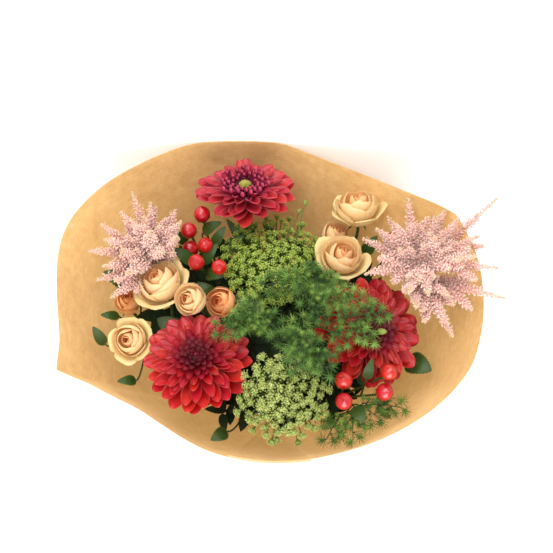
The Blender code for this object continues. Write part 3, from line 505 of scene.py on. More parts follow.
def rim_slope(index, part, side):
    """Change per degree of the rim's radius or height at a named point, on one side of a corner."""
    count = len(RIM)
    before, after = index - 1, index + 1
    if RIM[index][0] in RIM_CORNERS:
        before, after = (index, index + 1) if side > 0 else (index - 1, index)
    span = (RIM[after % count][0] - RIM[before % count][0]) % 360
    return (RIM[after % count][part] - RIM[before % count][part]) / span


def rim_at(clock):
    """Radius and height of the paper's rim at a clock angle, eased between its named points."""
    clock %= 360
    index = max(place for place, stop in enumerate(RIM) if stop[0] <= clock)
    here, there = RIM[index], RIM[(index + 1) % len(RIM)]
    span = (there[0] - here[0]) % 360
    share = (clock - here[0]) / span
    values = []
    for part in (1, 2):
        start = rim_slope(index, part, 1) * span
        end = rim_slope((index + 1) % len(RIM), part, -1) * span
        values.append(mix(here[part], there[part], eased(share))
                      + start * share * (1 - share) ** 2 - end * share * share * (1 - share))
    return values


def paper_waves(clock, rise):
    """Soft buckles of the sheet: small at the neck's gathers, broad and shallow toward the rim."""
    turn = np.radians(clock)
    broad = 0.8 * np.sin(3 * turn + 1.1 + 2 * rise) + 0.5 * np.sin(7 * turn + 0.4 - 3 * rise)
    broad = broad * smooth(rise, 0.2, 0.6) * (1 - 0.8 * smooth(rise, 0.9, 1.0))
    gathers = np.abs(np.sin(11.5 * turn + 0.6 * np.sin(3 * turn))) ** 0.7
    steep = np.maximum(rise, 0) / GATHERS_AT
    near = GATHER_DEPTH * gathers * steep * np.exp(1 - steep)
    pleats = np.abs(np.sin(6.5 * turn + 1.3 + 0.5 * np.sin(2 * turn))) ** 0.6
    far = PLEAT_DEPTH * pleats * smooth(rise, 0.04, 0.18) * (1 - smooth(rise, 0.25, 0.62))
    ruffle = RUFFLE_DEPTH * (np.sin(9 * turn) + 1) * smooth(-rise, 0.3, 1.0)
    creases = 0
    for place, depth, reach in PAPER_CREASES:
        apart = np.abs((clock - place + 180) % 360 - 180)
        fade = 1 - smooth(rise, 0.5 * reach, reach)
        creases = creases + depth * np.exp(-apart / CREASE_WIDTH) * fade
    return broad + near + far + ruffle + creases * smooth(rise, 0.0, 0.15)


def paper_points(outside):
    """Points of the sheet's outer or inner face, (columns, rows, 3)."""
    clocks = np.linspace(PAPER_START, PAPER_START + 360 + PAPER_OVERLAP, PAPER_COLUMNS)
    for corner in RIM_CORNERS:
        clocks[np.argmin(np.abs(clocks - corner - 360))] = corner + 360.0
    rises = np.concatenate([np.linspace(-1, 0, TAIL_ROWS + 1)[:-1],
                            np.linspace(0, 1, PAPER_ROWS - TAIL_ROWS) ** ROW_BUNCHING])
    rims = np.array([rim_at(clock) for clock in clocks])
    lap = PAPER_LAP_GAP * (clocks - PAPER_START) / 360
    clock, rise = np.meshgrid(clocks, rises, indexing="ij")
    up = np.maximum(rise, 0)
    height = np.where(rise < 0, -PAPER_TAIL[0] * rise, rims[:, 1:] * up)
    flare = np.clip((-height - TIE_BAND) / (-PAPER_TAIL[0] - TIE_BAND), 0, 1)
    radius = np.where(rise < 0, PAPER_NECK + PAPER_TAIL[1] * flare,
                      PAPER_NECK + (rims[:, :1] - PAPER_NECK) * up ** PAPER_BELLY)
    depth = mix(PAPER_THICKNESS, PAPER_EDGE, smooth(np.abs(rise), 0.8, 1.0)) if outside else 0.0
    radius = radius + lap[:, None] + depth + paper_waves(clock, rise)
    points = cylindrical(radius, np.radians(clock), height)
    above = moved(points.reshape(-1, 3), LAY_DOWN)[:, 2].reshape(radius.shape) * PER_METRE
    lift = PAPER_SOFT * np.log1p(np.exp((PAPER_THICKNESS - depth - above) / PAPER_SOFT))
    return points + lift[..., None] * np.array([0, -math.cos(STEM_RISE), math.sin(STEM_RISE)])


def build_paper(material):
    """One sheet rolled into a trumpet, its end lapped over its start.

    Its tone is 1 on the two faces that lie hidden in the lap.
    """
    inner, outer = paper_points(False), paper_points(True)
    loop = np.concatenate([inner, outer[:, ::-1]], axis=1)
    points, faces, _, _ = grid(loop, closed=True)
    columns, corners = loop.shape[:2]
    half = corners // 2
    caps = [[start + row, start + row + 1, start + corners - 2 - row, start + corners - 1 - row]
            for start in (0, (columns - 1) * corners) for row in range(half - 1)]
    along = np.concatenate([np.linspace(0, 1, half), np.linspace(1, 0, half)])
    around = np.linspace(0, 4, columns)
    places = np.stack(np.broadcast_arrays(around[:, None], along), -1).reshape(-1, 2)
    hidden = np.zeros((columns, corners))
    lapped = round(columns * PAPER_OVERLAP / (360 + PAPER_OVERLAP)) + 1
    hidden[:lapped, half:] = 1
    hidden[-lapped:, :half] = 1
    heap = Heap()
    heap.add((points, [*faces, np.array(caps)], places, hidden.ravel()))
    sheet = heap.build("kraft_paper_wrapper", material, ("paper_wrapper",))
    sheet.data.set_sharp_from_angle(angle=SHARP_FROM)


def kraft_look():
    """Brown kraft: fibres up the sheet, cloudy pulp, grain, and small dark flecks."""
    look = Look("kraft_paper")
    place = look.coordinates("Object")
    clouds = look.noise(22.0, 5.0, 0.6, place)
    pulp = look.noise(150.0, 5.0, 0.7, place)
    grain = look.noise(800.0, 3.0, 0.65, place)
    wide = look.node("Mapping", Scale=(16.0, 300.0, 1.0), Vector=look.coordinates("UV"))
    fibres = look.noise(1.0, 3.0, 0.6, wide.outputs[0])
    tone = look.math("MULTIPLY_ADD", clouds, 0.24, look.math("MULTIPLY", pulp, 0.42))
    tone = look.math("MULTIPLY_ADD", grain, 0.24, look.math("MULTIPLY_ADD", fibres, 0.26, tone))
    colour = look.ramp(tone, KRAFT)
    flecks = look.math("GREATER_THAN", look.noise(1500.0, 1.0, 0.4, place), 0.72)
    colour = look.blend(look.math("MULTIPLY", flecks, 0.25), colour, KRAFT_FLECK, "MULTIPLY")
    height = look.math("MULTIPLY_ADD", fibres, 0.6, look.math("MULTIPLY_ADD", pulp, 0.6, grain))
    look.bump(height, 0.35, PAPER_BUMP)
    rough = look.math("MULTIPLY_ADD", pulp, 0.2, 0.62)
    hidden = look.attribute("tone")
    through = look.blend(hidden, look.blend(0.6, colour, KRAFT_GLOW), WHITE)
    return look.finish(colour, rough, look.math("MULTIPLY_ADD", hidden, HIDDEN_GLOW, 0.5), through,
                       Sheen_Weight=0.15, Sheen_Roughness=0.6)


# ---------------------------------------------------------------- dahlias

DAHLIAS = {  # centre, lean and clock angle of the face, radius, how loosely its petals lie
    "dahlia_1": ((-60, -58, 235), 2.5, 206, 45.5, 1.4),
    "dahlia_2": ((-22, 104, 240), 22, 94, 45.0, 2.4),
    "dahlia_3": ((85, -29, 230), 24, 331, 48.5, 1.6),
}
OPEN_HEAD = "dahlia_2"              # it shows its eye, and its inner petals are rolled
DAHLIA_SCALE = 45.0                 # radius of the head that the measures below are for
# Petals from the outermost to the innermost: share, tip radius and height, root radius and height,
# width, and the roll across a petal
FULL_DAHLIA = np.array((
    (0.00, 45.5, -7.0, 11.0, -9.5, 18.0, 0.46), (0.13, 44.0, -2.5, 11.0, -6.5, 16.8, 0.54),
    (0.26, 39.5, 2.5, 10.0, -3.0, 14.8, 0.62), (0.38, 34.0, 6.5, 9.5, 0.0, 12.4, 0.68),
    (0.48, 29.0, 9.6, 9.0, 3.0, 10.4, 0.70), (0.56, 24.8, 11.6, 9.5, 5.0, 8.8, 0.66),
    (0.66, 20.0, 12.8, 8.5, 6.5, 8.0, 0.55), (0.80, 13.8, 14.2, 5.0, 8.5, 6.8, 0.55),
    (0.91, 7.6, 15.2, 2.0, 10.0, 5.6, 0.6), (1.00, 1.8, 15.6, 0.3, 11.0, 4.4, 0.8),
))
OPEN_DAHLIA = np.array((
    (0.00, 44.5, -5.0, 10.0, -9.5, 18.0, 0.44), (0.16, 43.0, -0.5, 10.0, -7.0, 17.0, 0.50),
    (0.30, 38.5, 3.0, 9.5, -4.0, 15.0, 0.56), (0.40, 33.0, 5.5, 9.0, -2.0, 12.5, 0.62),
    (0.46, 28.5, 7.5, 12.0, -1.5, 10.0, 0.70), (0.54, 24.5, 8.6, 15.0, -1.0, 8.4, 0.80),
    (0.62, 21.0, 10.0, 15.0, -0.5, 7.2, 0.90), (0.80, 15.6, 10.4, 11.6, 0.0, 6.2, 0.96),
    (1.00, 9.0, 8.4, 7.0, 0.5, 5.2, 1.0),
))
# Rows, number of petals, share where the heart starts, and slot
FULL_KIND = (FULL_DAHLIA, 132, 0.56, "dahlia_coral")
OPEN_KIND = (OPEN_DAHLIA, 112, 0.46, "dahlia_pink")
# Round knob at the tip of each rolled petal, and its size by the petal's width
KNOBS_FROM = 0.60
QUILL_KNOB = ((0, -1.3), (0.7, -0.9), (1.0, 0), (0.75, 0.8), (0.3, 1.15), (0, 1.2))
KNOB_SIZE = 0.29
# Bodies that the petals, the heart, the eye and the calyx grow from: (radius, height) rows
PETAL_CORE = ((0, -13), (9, -12.5), (14, -8.5), (12, -3), (8, -1), (0, 0))
EYE_CORE = ((0, -4), (4.5, -3.5), (5.6, 3), (3.5, 6.4), (0, 7.2))
EYE_BUD = ((0, -1.5), (0.7, -1.1), (0.95, 0), (0.7, 1.0), (0, 1.7))
EYE_BUDS = 56
EYE_RADIUS = 4.9
CALYX = ((0, -19), (3, -18.5), (7, -15.5), (9.5, -13.6), (9, -12.9))
CALYX_SIDES = 16
CALYX_FOOT = -15.0                  # where the stem ends under a head
BRACTS = (6, 17, 8, 0.25, 0.5)      # how many, reach, width, droop and tone
CORE_SIDES = 20
PETAL_STEPS = np.array([0, 0.14, 0.28, 0.42, 0.55, 0.66, 0.76, 0.84, 0.91, 0.96, 0.99, 1.0])
PETAL_ACROSS = np.array([-1, -0.86, -0.62, -0.32, 0, 0.32, 0.62, 0.86, 1])
# Width of a petal's claw by its full width, and how far along it is widest
ROLLED_OUTLINE = (0.5, 0.84)
SPOON_OUTLINE = (0.3, 0.66)
PETAL_KEEL = (0.07, 0.16)           # height and width of the ridge along its middle
PETAL_RIPPLE = 0.05


def petal_outline(steps, base, widest):
    """Width along a petal: a narrow claw, widest past the middle, then a round tip."""
    rise = base + (1 - base) * np.sin(np.clip(steps / widest, 0, 1) * math.pi / 2)
    tip = np.clip(1 - (np.clip(steps - widest, 0, None) / (1 - widest)) ** 2.3, 0, None) ** 0.5
    return np.minimum(rise, np.where(steps > widest, tip, 1)) + 0.01


def dahlia_petal(angle, tip, root, width, cup, share, jitter, rolled):
    """Spoon-shaped petal in the head's own frame: its edges stand up and its tip bends."""
    steps, across = PETAL_STEPS[:, None], PETAL_ACROSS[None]
    lengths = PETAL_STEPS
    reach = mix(root[0], tip[0], lengths)
    sag = (2.4 - 1.4 * share) * np.sin(math.pi * lengths) + 2.2 * share * smooth(lengths, 0.6, 1.0)
    height = mix(root[1], tip[1], lengths) - sag + jitter[0] * lengths ** 2
    swing = angle + jitter[1] * lengths
    path = cylindrical(reach, swing, height)
    side, face = path_frame(path, UP)
    outline = petal_outline(lengths, *(ROLLED_OUTLINE if rolled else SPOON_OUTLINE))
    bend = np.clip(cup * (1.15 - 0.35 * steps), 0, 1.0)
    out = across * (1 - 0.52 * bend * across ** 2)
    edge = bend * np.abs(across) ** 1.8
    keel = PETAL_KEEL[0] * np.exp(-(across / PETAL_KEEL[1]) ** 2)
    ripple = PETAL_RIPPLE * np.cos(across * 3 * math.pi) * (1 - bend)
    half = (width * outline / 2)[:, None]
    points = spread_sheet(path, side, face, out, edge + keel - ripple, half)
    # The tone deepens toward the heart and toward each petal's root; the small deepening along a
    # petal's middle is painted shade in its hollow channel.
    tone = (0.85 * smooth(share, 0.30, 0.90) + 0.25 * (1 - smooth(steps, 0.05, 0.85))
            + 0.05 * (1 - np.abs(across)))
    return grid(points, tone)


def dahlia_frame(name):
    """Axis of a dahlia's face, and the matrix of its head."""
    centre, lean, toward, radius, _ = DAHLIAS[name]
    axis = direction(lean, toward)
    return axis, pose(centre, axis) @ Matrix.Scale(radius / DAHLIA_SCALE, 4)


def build_dahlia(name, material, heart_material):
    """Petals of a dahlia, and those of its heart, rolled where the head is open."""
    _, matrix = dahlia_frame(name)
    rolled = name == OPEN_HEAD
    rows, count, start, slot = OPEN_KIND if rolled else FULL_KIND
    loose = DAHLIAS[name][-1]
    petals, heart = Heap(), Heap()
    for index in range(count):
        share = index / (count - 1)
        tip_radius, tip_height, root_radius, root_height, width, cup = (
            np.interp(share, rows[:, 0], rows[:, part]) for part in range(1, 7))
        spread = rng.normal(0, 1, 4)
        tip = (tip_radius * (1 + 0.02 * spread[0]), tip_height + 0.4 * spread[1])
        angle = index * GOLDEN + 0.05 * spread[2]
        form = dahlia_petal(angle, tip, (root_radius, root_height), width * (1 + 0.06 * spread[1]),
                            cup, share, (loose * spread[3] * (1 - share), 0.06 * spread[2]),
                            rolled and share > start)
        (petals if share < start else heart).add(placed(form, matrix))
        if rolled and share > KNOBS_FROM:
            knob = (matrix @ pose(polar(tip[0], angle, tip[1]), UP)
                    @ Matrix.Scale(KNOB_SIZE * width, 4))
            heart.add(lathe(QUILL_KNOB, 8, knob, 0.72 - 0.25 * share))
    inner = rows[-1][2]
    heart_core = ((0, 0), (7, -4), (9.5, inner - 9), (6, inner - 4.5), (0, inner - 2.5))
    petals.add(lathe(PETAL_CORE, CORE_SIDES, matrix, 0.9))
    heart.add(lathe(heart_core, CORE_SIDES, matrix, 1.0))
    petals.dress(name + "_petals", material, slot)
    heart.dress(name + "_heart", heart_material, "dahlia_wine")


def build_dahlia_eye(material):
    """Button of unopened green florets in the middle of the open dahlia."""
    _, matrix = dahlia_frame(OPEN_HEAD)
    heap = Heap()
    heap.add(lathe(EYE_CORE, CORE_SIDES, matrix, 0.2))
    number = np.arange(EYE_BUDS)
    out = np.sqrt((number + 0.5) / EYE_BUDS) * EYE_RADIUS
    spots = cylindrical(out, number * GOLDEN, 7.4 - 0.075 * out ** 2)
    axes = cylindrical(0.07 * out, number * GOLDEN, 1.0)
    turns = np.array(matrix)[:3, :3] @ turns_to(axes)
    heap.scatter(lathe(EYE_BUD, 6, Matrix()), moved(spots, matrix), turns,
                 0.3 + 0.06 * (7 - out) ** 0.8)
    heap.dress(OPEN_HEAD + "_eye", material, "dahlia_eye")


# ---------------------------------------------------------------- the bunch of stems

STEM_LENGTH = 172.0                 # from the tie down to the cut ends
STEM_SPLAY = 1.6                    # spread of the cut ends, relative to the tie
STEM_SAG = 19.78                    # how far the cut ends sag toward the table
STEM_TWIST = math.radians(-30)      # turn of the spiral from the tie to the cut ends
TOOTH_DEPTH = 0.14                  # of a leaf's teeth, by its half width
PETIOLE_DROP = 26.0                 # how far below a leaf its petiole looks for a stalk
PETIOLE_RADII = (1.1, 0.9, 0.8, 0.75, 0.75, 0.75, 0.8)
FORK_LIFT = 55.0                    # how far up a stem keeps its heading where it forks
STEM_SIDES = 10
STEM_STEPS = 18                     # along a stem above the tie
FOOT_STEPS = 9                      # and below it
STEM_OPENING = 1.9                  # how fast the stems spread above the tie
STEM_RIDGES = 5
RIDGE_DEPTH = 0.03                  # by the stem's radius
STEM_SHADE = 0.35                   # how much lighter a stem's foot is, on its colour ramp
TOUCH_GAP = 0.35                    # between stems that touch
STEMS = {  # radius, and clock angle in the bunch
    "dahlia_1": (3.5, 224), "dahlia_2": (3.5, 100), "dahlia_3": (3.5, 342),
    "rose_1": (2.5, 186), "rose_2": (2.4, 200), "rose_3": (2.5, 58), "rose_4": (2.4, 30),
    "umbel_1": (2.5, 80), "umbel_2": (2.5, 275), "astilbe_1": (2.2, 150), "astilbe_2": (2.2, 8),
    "hypericum_1": (2.1, 130), "hypericum_2": (2.1, 318),
    "fern_1": (1.6, 350), "fern_2": (1.6, 20), "fern_3": (1.6, 290), "fern_4": (1.6, 250),
    "fern_5": (1.6, 296),
}
CORE_STEMS = ("umbel_1", "fern_1", "fern_2", "fern_3", "fern_4", "rose_2")
CORE_START = 4.0                    # radius that the middle stems are pressed inward from
CORE_STEP = 0.4                     # each one a little farther out
RING_START = 15.0                   # and the outer ones
PRESS_ROUNDS = 400
PUSHES_PER_ROUND = 12
PRESS = 0.992                       # each round brings the stems inward by this factor


def packed_slots():
    """Where each stem crosses the tie: pressed inward until the stems touch each other."""
    slots = {}
    for index, (name, (_, clock)) in enumerate(STEMS.items()):
        start = CORE_START + CORE_STEP * index if name in CORE_STEMS else RING_START
        slots[name] = polar(start, math.radians(clock))
    for _ in range(PRESS_ROUNDS):
        for name, slot in slots.items():
            slots[name] = slot * PRESS
        for _ in range(PUSHES_PER_ROUND):
            push_apart(slots)
    return slots


def push_apart(slots):
    """Moves each pair of stems apart that lie too near to each other."""
    names = list(slots)
    for index, first in enumerate(names):
        for second in names[index + 1:]:
            apart = slots[second] - slots[first]
            lack = STEMS[first][0] + STEMS[second][0] + TOUCH_GAP - apart.length
            if lack > 0:
                shift = apart.normalized() * (lack / 2)
                slots[first] -= shift
                slots[second] += shift


SLOTS = packed_slots()


def stem_path(name, end, end_axis, lift):
    """Whole stem as rows of points: cut end, tie, then a sweep up to a head."""
    points = []
    for share in np.linspace(1, 0, FOOT_STEPS):
        spread = 1 + (STEM_SPLAY - 1) * share
        turn = Matrix.Rotation(STEM_TWIST * share, 3, "Z")
        height = -mix(TIE_BAND, STEM_LENGTH, share)
        points.append(turn @ SLOTS[name] * spread + Vector((0, STEM_SAG * share, height)))
    slot, end = SLOTS[name], Vector(end)
    arrive = (Vector(end_axis) + end.normalized()).normalized()
    above = bezier(slot, slot * STEM_OPENING + UP * lift, end - arrive * lift, end, STEM_STEPS)
    return np.concatenate([np.array(points, float), above])


def start_stem(name, end, end_axis, end_radius, lift=70.0, tone=0.3):
    """New heap with a plant's main stem in it, cut square at its foot, and the stem's path."""
    path = stem_path(name, end, end_axis, lift)
    radii = mix(STEMS[name][0], end_radius, smooth(np.linspace(0, 1, len(path)), 0.35, 1))
    shade = STEM_SHADE * smooth(np.linspace(0, 1, len(path) + 2), 0.5, 0.0)[:, None]
    heap = Heap()
    heap.add(tube(path, radii, STEM_SIDES, tone + shade,
                  lambda angle: 1 + RIDGE_DEPTH * (np.cos(STEM_RIDGES * angle) - 1)))
    return heap, path


def leaf(base, tip, width, facing, teeth=13, fold=0.35, arch=0.10, tone=0.4, columns=7):
    """Leaf with a number of teeth along it, folded a little along its midrib, its tip bent down."""
    rows = 2 * teeth + 3 if teeth else 2 * columns
    steps = np.linspace(0, 1, rows)
    base, along = np.array(base, float), np.array(tip, float) - base
    rise = arch * np.linalg.norm(along) * (np.sin(math.pi * steps) - 0.8 * smooth(steps, 0.6, 1.0))
    path = base + along * steps[:, None] + np.array(facing, float) * rise[:, None]
    widths = width * (np.sin(math.pi * steps ** 0.8) ** 0.75 * 0.97 + 0.03)
    saw = 1.0
    if teeth:
        cut = np.where(np.arange(rows) % 2 == 1, 0.0, -TOOTH_DEPTH)
        saw = 1 + cut[:, None] * np.abs(np.linspace(-1, 1, columns))[None] ** 6
    return ribbon(path, widths, facing, fold, columns, 0.04, tone, saw)


def leaf_facing(along, toward=(0, -0.3, 1)):
    """Normal of a leaf that runs along a direction: up and a little to the front."""
    return (Vector(toward) - along * along.z).normalized()


def nearest_on(path, spot):
    """Point of a path nearest to a spot."""
    best = None
    for start, end in zip(path, path[1:]):
        start, end = Vector(start), Vector(end)
        point, share = intersect_point_line(spot, start, end)
        point = mix(start, end, min(max(share, 0.05), 0.95))
        if best is None or (point - spot).length < (best - spot).length:
            best = point
    return best


def stalked_leaf(heap, stalks, base, tip, width, teeth=13):
    """A leaf with the petiole that joins it to the nearest stalk."""
    base, tip = Vector(base), Vector(tip)
    below = base - UP * PETIOLE_DROP
    root = min((nearest_on(path, below) for path in stalks),
               key=lambda spot: (spot - below).length)
    along = (tip - base).normalized()
    petiole = bezier(root, mix(root, base, 0.5) + UP * 3, base - along * 6, base + along, 7)
    heap.add(tube(petiole, PETIOLE_RADII, 6, 0.3))
    heap.add(leaf(base, tip, width, leaf_facing(along), teeth))


def sepals(heap, matrix, count, reach, width, droop, tone=0.3):
    """Pointed sepals in a star around local z."""
    steps = np.linspace(0, 1, 7)
    for angle in round_angles(count) + 0.2:
        out = reach * steps
        height = -droop * reach * steps ** 2 + 0.12 * reach * np.sin(math.pi * steps)
        path = moved(cylindrical(out, angle, height), matrix)
        widths = width * (1 - steps) ** 0.8 + 0.05
        heap.add(ribbon(path, widths, np.array(matrix)[:3, 2], 0.5, 5, 0.0, tone))


def build_dahlia_stem(name, material):
    """Stem with the green calyx under the head, and its bracts."""
    axis, matrix = dahlia_frame(name)
    heap, _ = start_stem(name, matrix @ Vector((0, 0, CALYX_FOOT)), axis, 2.6)
    heap.add(lathe(CALYX, CALYX_SIDES, matrix, 0.5))
    sepals(heap, matrix @ Matrix.Translation((0, 0, CALYX_FOOT + 0.5)), *BRACTS)
    heap.dress(name + "_stem", material, "stem_green")


# ---------------------------------------------------------------- spray roses

ROSES = {  # centre, lean and clock angle of the face, diameter, how peach it is, how pointed
    "rose_1a": ((-94, 15, 232), 20, 150, 44, 0.1, 0.05),
    "rose_1b": ((-118, -33, 220), 26, 235, 34, 0.2, 0.02),
    "rose_1c": ((-124, 13, 201), 5, 162, 24, 0.5, 0.04),
    "rose_2a": ((-66, -8, 245), 26, 213, 28, 0.1, 0.06),
    "rose_2b": ((-41, 2, 222), 26, 213, 28, 0.35, 0.04),
    "rose_3a": ((77, 92, 230), 28, 99, 43, 0.3, 0.13),
    "rose_3b": ((57, 72, 214), 18, 42, 27, 0.15, 0.08),
    "rose_4a": ((62, 38, 237), 9, 49, 41, 0.2, 0.12),
    "rose_4b": ((112, 68, 206), 20, 22, 23, 0.4, 0.04),
}
PEACH_ROSES = ("rose_1c", "rose_2b", "rose_4b")
SMALL_ROSE = 30.0                   # a bloom under this diameter has no guard petals
BUD_SCALE = 1.3                     # and its other petals are drawn larger
BUD_GIRTH = 0.86                    # and held in
ROSE_CORE = np.array(((0, -0.40), (0.10, -0.38), (0.12, -0.3), (0.05, 0.1), (0, 0.18)))
ROSE_HIP = np.array(((0, -0.05), (0.055, -0.03), (0.085, 0.03), (0.07, 0.09), (0.0, 0.1)))
ROSE_DEPTH = 0.40                   # from a bloom's centre down to its hip, by the diameter
HIP_TOP = 0.07                      # where the sepals grow from, by the diameter
LAYER_TURN = 0.7                    # radians from each layer of petals to the next
ROSE_STRAY = (0.012, 0.09, 0.02)    # of a petal's radius and height, its angle, and its size
CORNER_DROP = 0.24                  # how much lower a petal's corners are than its middle
RIM_RIPPLE = 0.018
RIM_WAVE = 0.010
OVERLAP_STEP = 0.018                # one side edge of a petal lies this much farther out
RIM_OUT, RIM_DOWN = 0.035, 0.040    # how far the folded rim moves
# Layers of petals from the guard petals in to the heart: petals, half width in radians, how far the
# rim folds out, and (radius, height) pairs up a petal, by the diameter
ROSE_LAYERS = (
    (5, 0.70, 1.1, ((0.05, -0.37), (0.27, -0.31), (0.41, -0.17), (0.50, -0.02), (0.60, 0.03))),
    (3, 1.10, 0.5, ((0.05, -0.36), (0.27, -0.27), (0.40, -0.07), (0.425, 0.09), (0.415, 0.19))),
    (3, 1.25, 0.3, ((0.05, -0.34), (0.24, -0.22), (0.37, -0.02), (0.365, 0.14), (0.30, 0.25))),
    (3, 1.40, 0.2, ((0.04, -0.32), (0.20, -0.17), (0.29, 0.03), (0.265, 0.19), (0.18, 0.295))),
    (3, 1.55, 0.25, ((0.03, -0.30), (0.12, -0.10), (0.185, 0.08), (0.15, 0.235), (0.095, 0.315))),
    (3, 1.9, 0.3, ((0.01, -0.25), (0.06, -0.04), (0.095, 0.12), (0.075, 0.24), (0.04, 0.315))),
)
ROSE_STEPS = np.array([0, 0.18, 0.36, 0.52, 0.66, 0.78, 0.87, 0.94, 0.98, 1.0])
RUN_STEPS = np.array([0, 0.28, 0.56, 0.8, 1.0])
ROSE_ACROSS = np.array([-1, -0.93, -0.78, -0.56, -0.28, 0, 0.28, 0.56, 0.78, 0.93, 1])


def rose_scale(name):
    """Diameter that a bloom's petals are drawn for."""
    size = ROSES[name][3]
    return size * BUD_SCALE if size < SMALL_ROSE else size


def eased_run(places, values, at):
    """Smooth curve through named values."""
    slopes = np.gradient(values, places)
    index = np.clip(np.searchsorted(places, at) - 1, 0, len(places) - 2)
    span = places[index + 1] - places[index]
    share = np.clip((at - places[index]) / span, 0, 1)
    start, end = values[index], values[index + 1]
    return (mix(start, end, eased(share)) + slopes[index] * span * share * (1 - share) ** 2
            - slopes[index + 1] * span * share * share * (1 - share))


def rose_petal(layer, angle, size, point):
    """Curved petal wrapped around local z, with a rim that folds out to a soft point."""
    _, half, fold, run = ROSE_LAYERS[layer]
    across, steps = ROSE_ACROSS[None], ROSE_STEPS[:, None]
    run = np.array(run)
    rim = 1 - point - CORNER_DROP * np.abs(across) ** 4.5 + point * np.exp(-(across / 0.3) ** 2)
    rim = rim + RIM_RIPPLE * np.sin(across * 6 + angle * 7)
    reach = steps * np.minimum(rim, 1)
    radius = eased_run(RUN_STEPS, run[:, 0], reach)
    height = eased_run(RUN_STEPS, run[:, 1], reach)
    lift, rise = rng.normal(0, ROSE_STRAY[0], 2)
    wave = RIM_WAVE * np.sin(across * 4.5 + angle * 3) * smooth(steps, 0.5, 1)
    curl = fold * smooth(steps, 0.80, 1.0) * (0.35 + 0.65 * np.abs(across))
    claw = np.interp(ROSE_STEPS, (0, 0.3, 0.65, 1.0), (0.45, 0.85, 1.0, 0.97))[:, None]
    radius = radius + OVERLAP_STEP * across + wave + RIM_OUT * curl + lift * steps
    height = height - RIM_DOWN * curl + 0.6 * wave + rise * steps
    points = cylindrical(radius, angle + across * half * claw, height) * size
    tone = (0.02 + 0.13 * layer - 0.08 * smooth(steps, 0.6, 1.0)
            + 0.18 * (1 - smooth(steps, 0.0, 0.6)))
    return grid(points, tone)


def build_rose(name, material):
    """Bloom of a spray rose: guard petals flare around a rounded cup with a furled heart."""
    centre, lean, toward, size, peach, point = ROSES[name]
    matrix = pose(centre, direction(lean, toward))
    first = 1 if size < SMALL_ROSE else 0
    girth = BUD_GIRTH if first else 1.0
    heap = Heap()
    turn = rng.random() * FULL_TURN
    for layer in range(first, len(ROSE_LAYERS)):
        turn += LAYER_TURN
        for place in round_angles(ROSE_LAYERS[layer][0]):
            angle = turn + place + rng.normal(0, ROSE_STRAY[1])
            scale = rose_scale(name) * (1 + rng.normal(0, ROSE_STRAY[2]))
            form = rose_petal(layer, angle, scale, point)
            form[0][:, :2] *= girth
            heap.add(placed(form, matrix), vary=peach + 0.25 * rng.random())
    heap.add(lathe(ROSE_CORE * rose_scale(name), 12, matrix, 0.9), vary=peach)
    heap.dress(name + "_bloom", material, "rose_peach" if name in PEACH_ROSES else "rose_cream")


def rose_base(name, drop):
    """Point under a bloom, below its receptacle, and the bloom's axis."""
    centre, lean, toward = ROSES[name][:3]
    axis = direction(lean, toward)
    return Vector(centre) - axis * (ROSE_DEPTH * rose_scale(name) + drop), axis


# Rose sprays: blooms, fork of the stem, and leaves as base point, tip point and width
SPRAYS = {
    "rose_1": (("rose_1a", "rose_1b", "rose_1c"), (-88, -8, 150),
               (((-142, -28, 200), (-151, -18, 214), 11), ((-114, -60, 196), (-127, -67, 212), 10),
                ((-118, 34, 188), (-146, 40, 206), 20))),
    "rose_2": (("rose_2a", "rose_2b"), (-44, -6, 150),
               (((-76, -18, 200), (-96, -10, 214), 20), ((-25, -4, 198), (-5, 6, 214), 22))),
    "rose_3": (("rose_3a", "rose_3b"), (54, 60, 150),
               (((84, 62, 198), (94, 70, 216), 13),)),
    "rose_4": (("rose_4a", "rose_4b"), (66, 38, 150),
               (((96, 18, 204), (100, 4, 222), 18), ((118, -36, 184), (137, -51, 199), 22))),
}


def build_rose_spray(name, material):
    """Branching stem of a rose spray, with sepals under each bloom, and leaves."""
    blooms, fork, leaves = SPRAYS[name]
    heap, main = start_stem(name, fork, UP, 2.2, FORK_LIFT)
    stalks = [main]
    for index, bloom in enumerate(blooms):
        base, axis = rose_base(bloom, 1.2)
        root = Vector(main[-2 - 2 * index])
        along = Vector(along_path(main)[-2])
        stalk = bezier(root, root + along * 18, base - axis * 24, base, 14)
        stalks.append(stalk)
        heap.add(tube(stalk, np.linspace(1.9, 1.3, 14), 8, 0.4))
        size = rose_scale(bloom)
        matrix = pose(base, axis)
        heap.add(lathe(ROSE_HIP * size, 10, matrix, 0.4))
        sepals(heap, matrix @ Matrix.Translation((0, 0, HIP_TOP * size)), 5, size * 0.34,
               size * 0.13, 0.15)
    for base, tip, width in leaves:
        stalked_leaf(heap, stalks, base, tip, width)
    heap.dress(name + "_spray", material, "leaf_green")


# ---------------------------------------------------------------- umbels

# Centre, lean and clock angle of the face, radius, umbellets, florets in each, the umbellets'
# radius, how domed they are, and the size of their cores by that radius
UMBELS = {
    "umbel_1": ((2, 44, 228), 4, 90, 50.0, 150, 16, 3.9, 0.62, 0.64),
    "umbel_2": ((11, -97, 242), 38, 270, 41.0, 84, 20, 4.6, 0.5, 0.78),
}
UMBEL_DOME = 7.0                    # how much lower the head's rim lies than its middle
UMBEL_STRAY = 1.1                   # how far the umbellets and florets stray from an even spiral
UMBEL_TONES = (0.05, 0.15, 0.2, 0.33, 0.65)     # stem, rays, stalks, cores, florets
FLORET_PETALS = 5
TINY_STALK = 0.16                   # radius


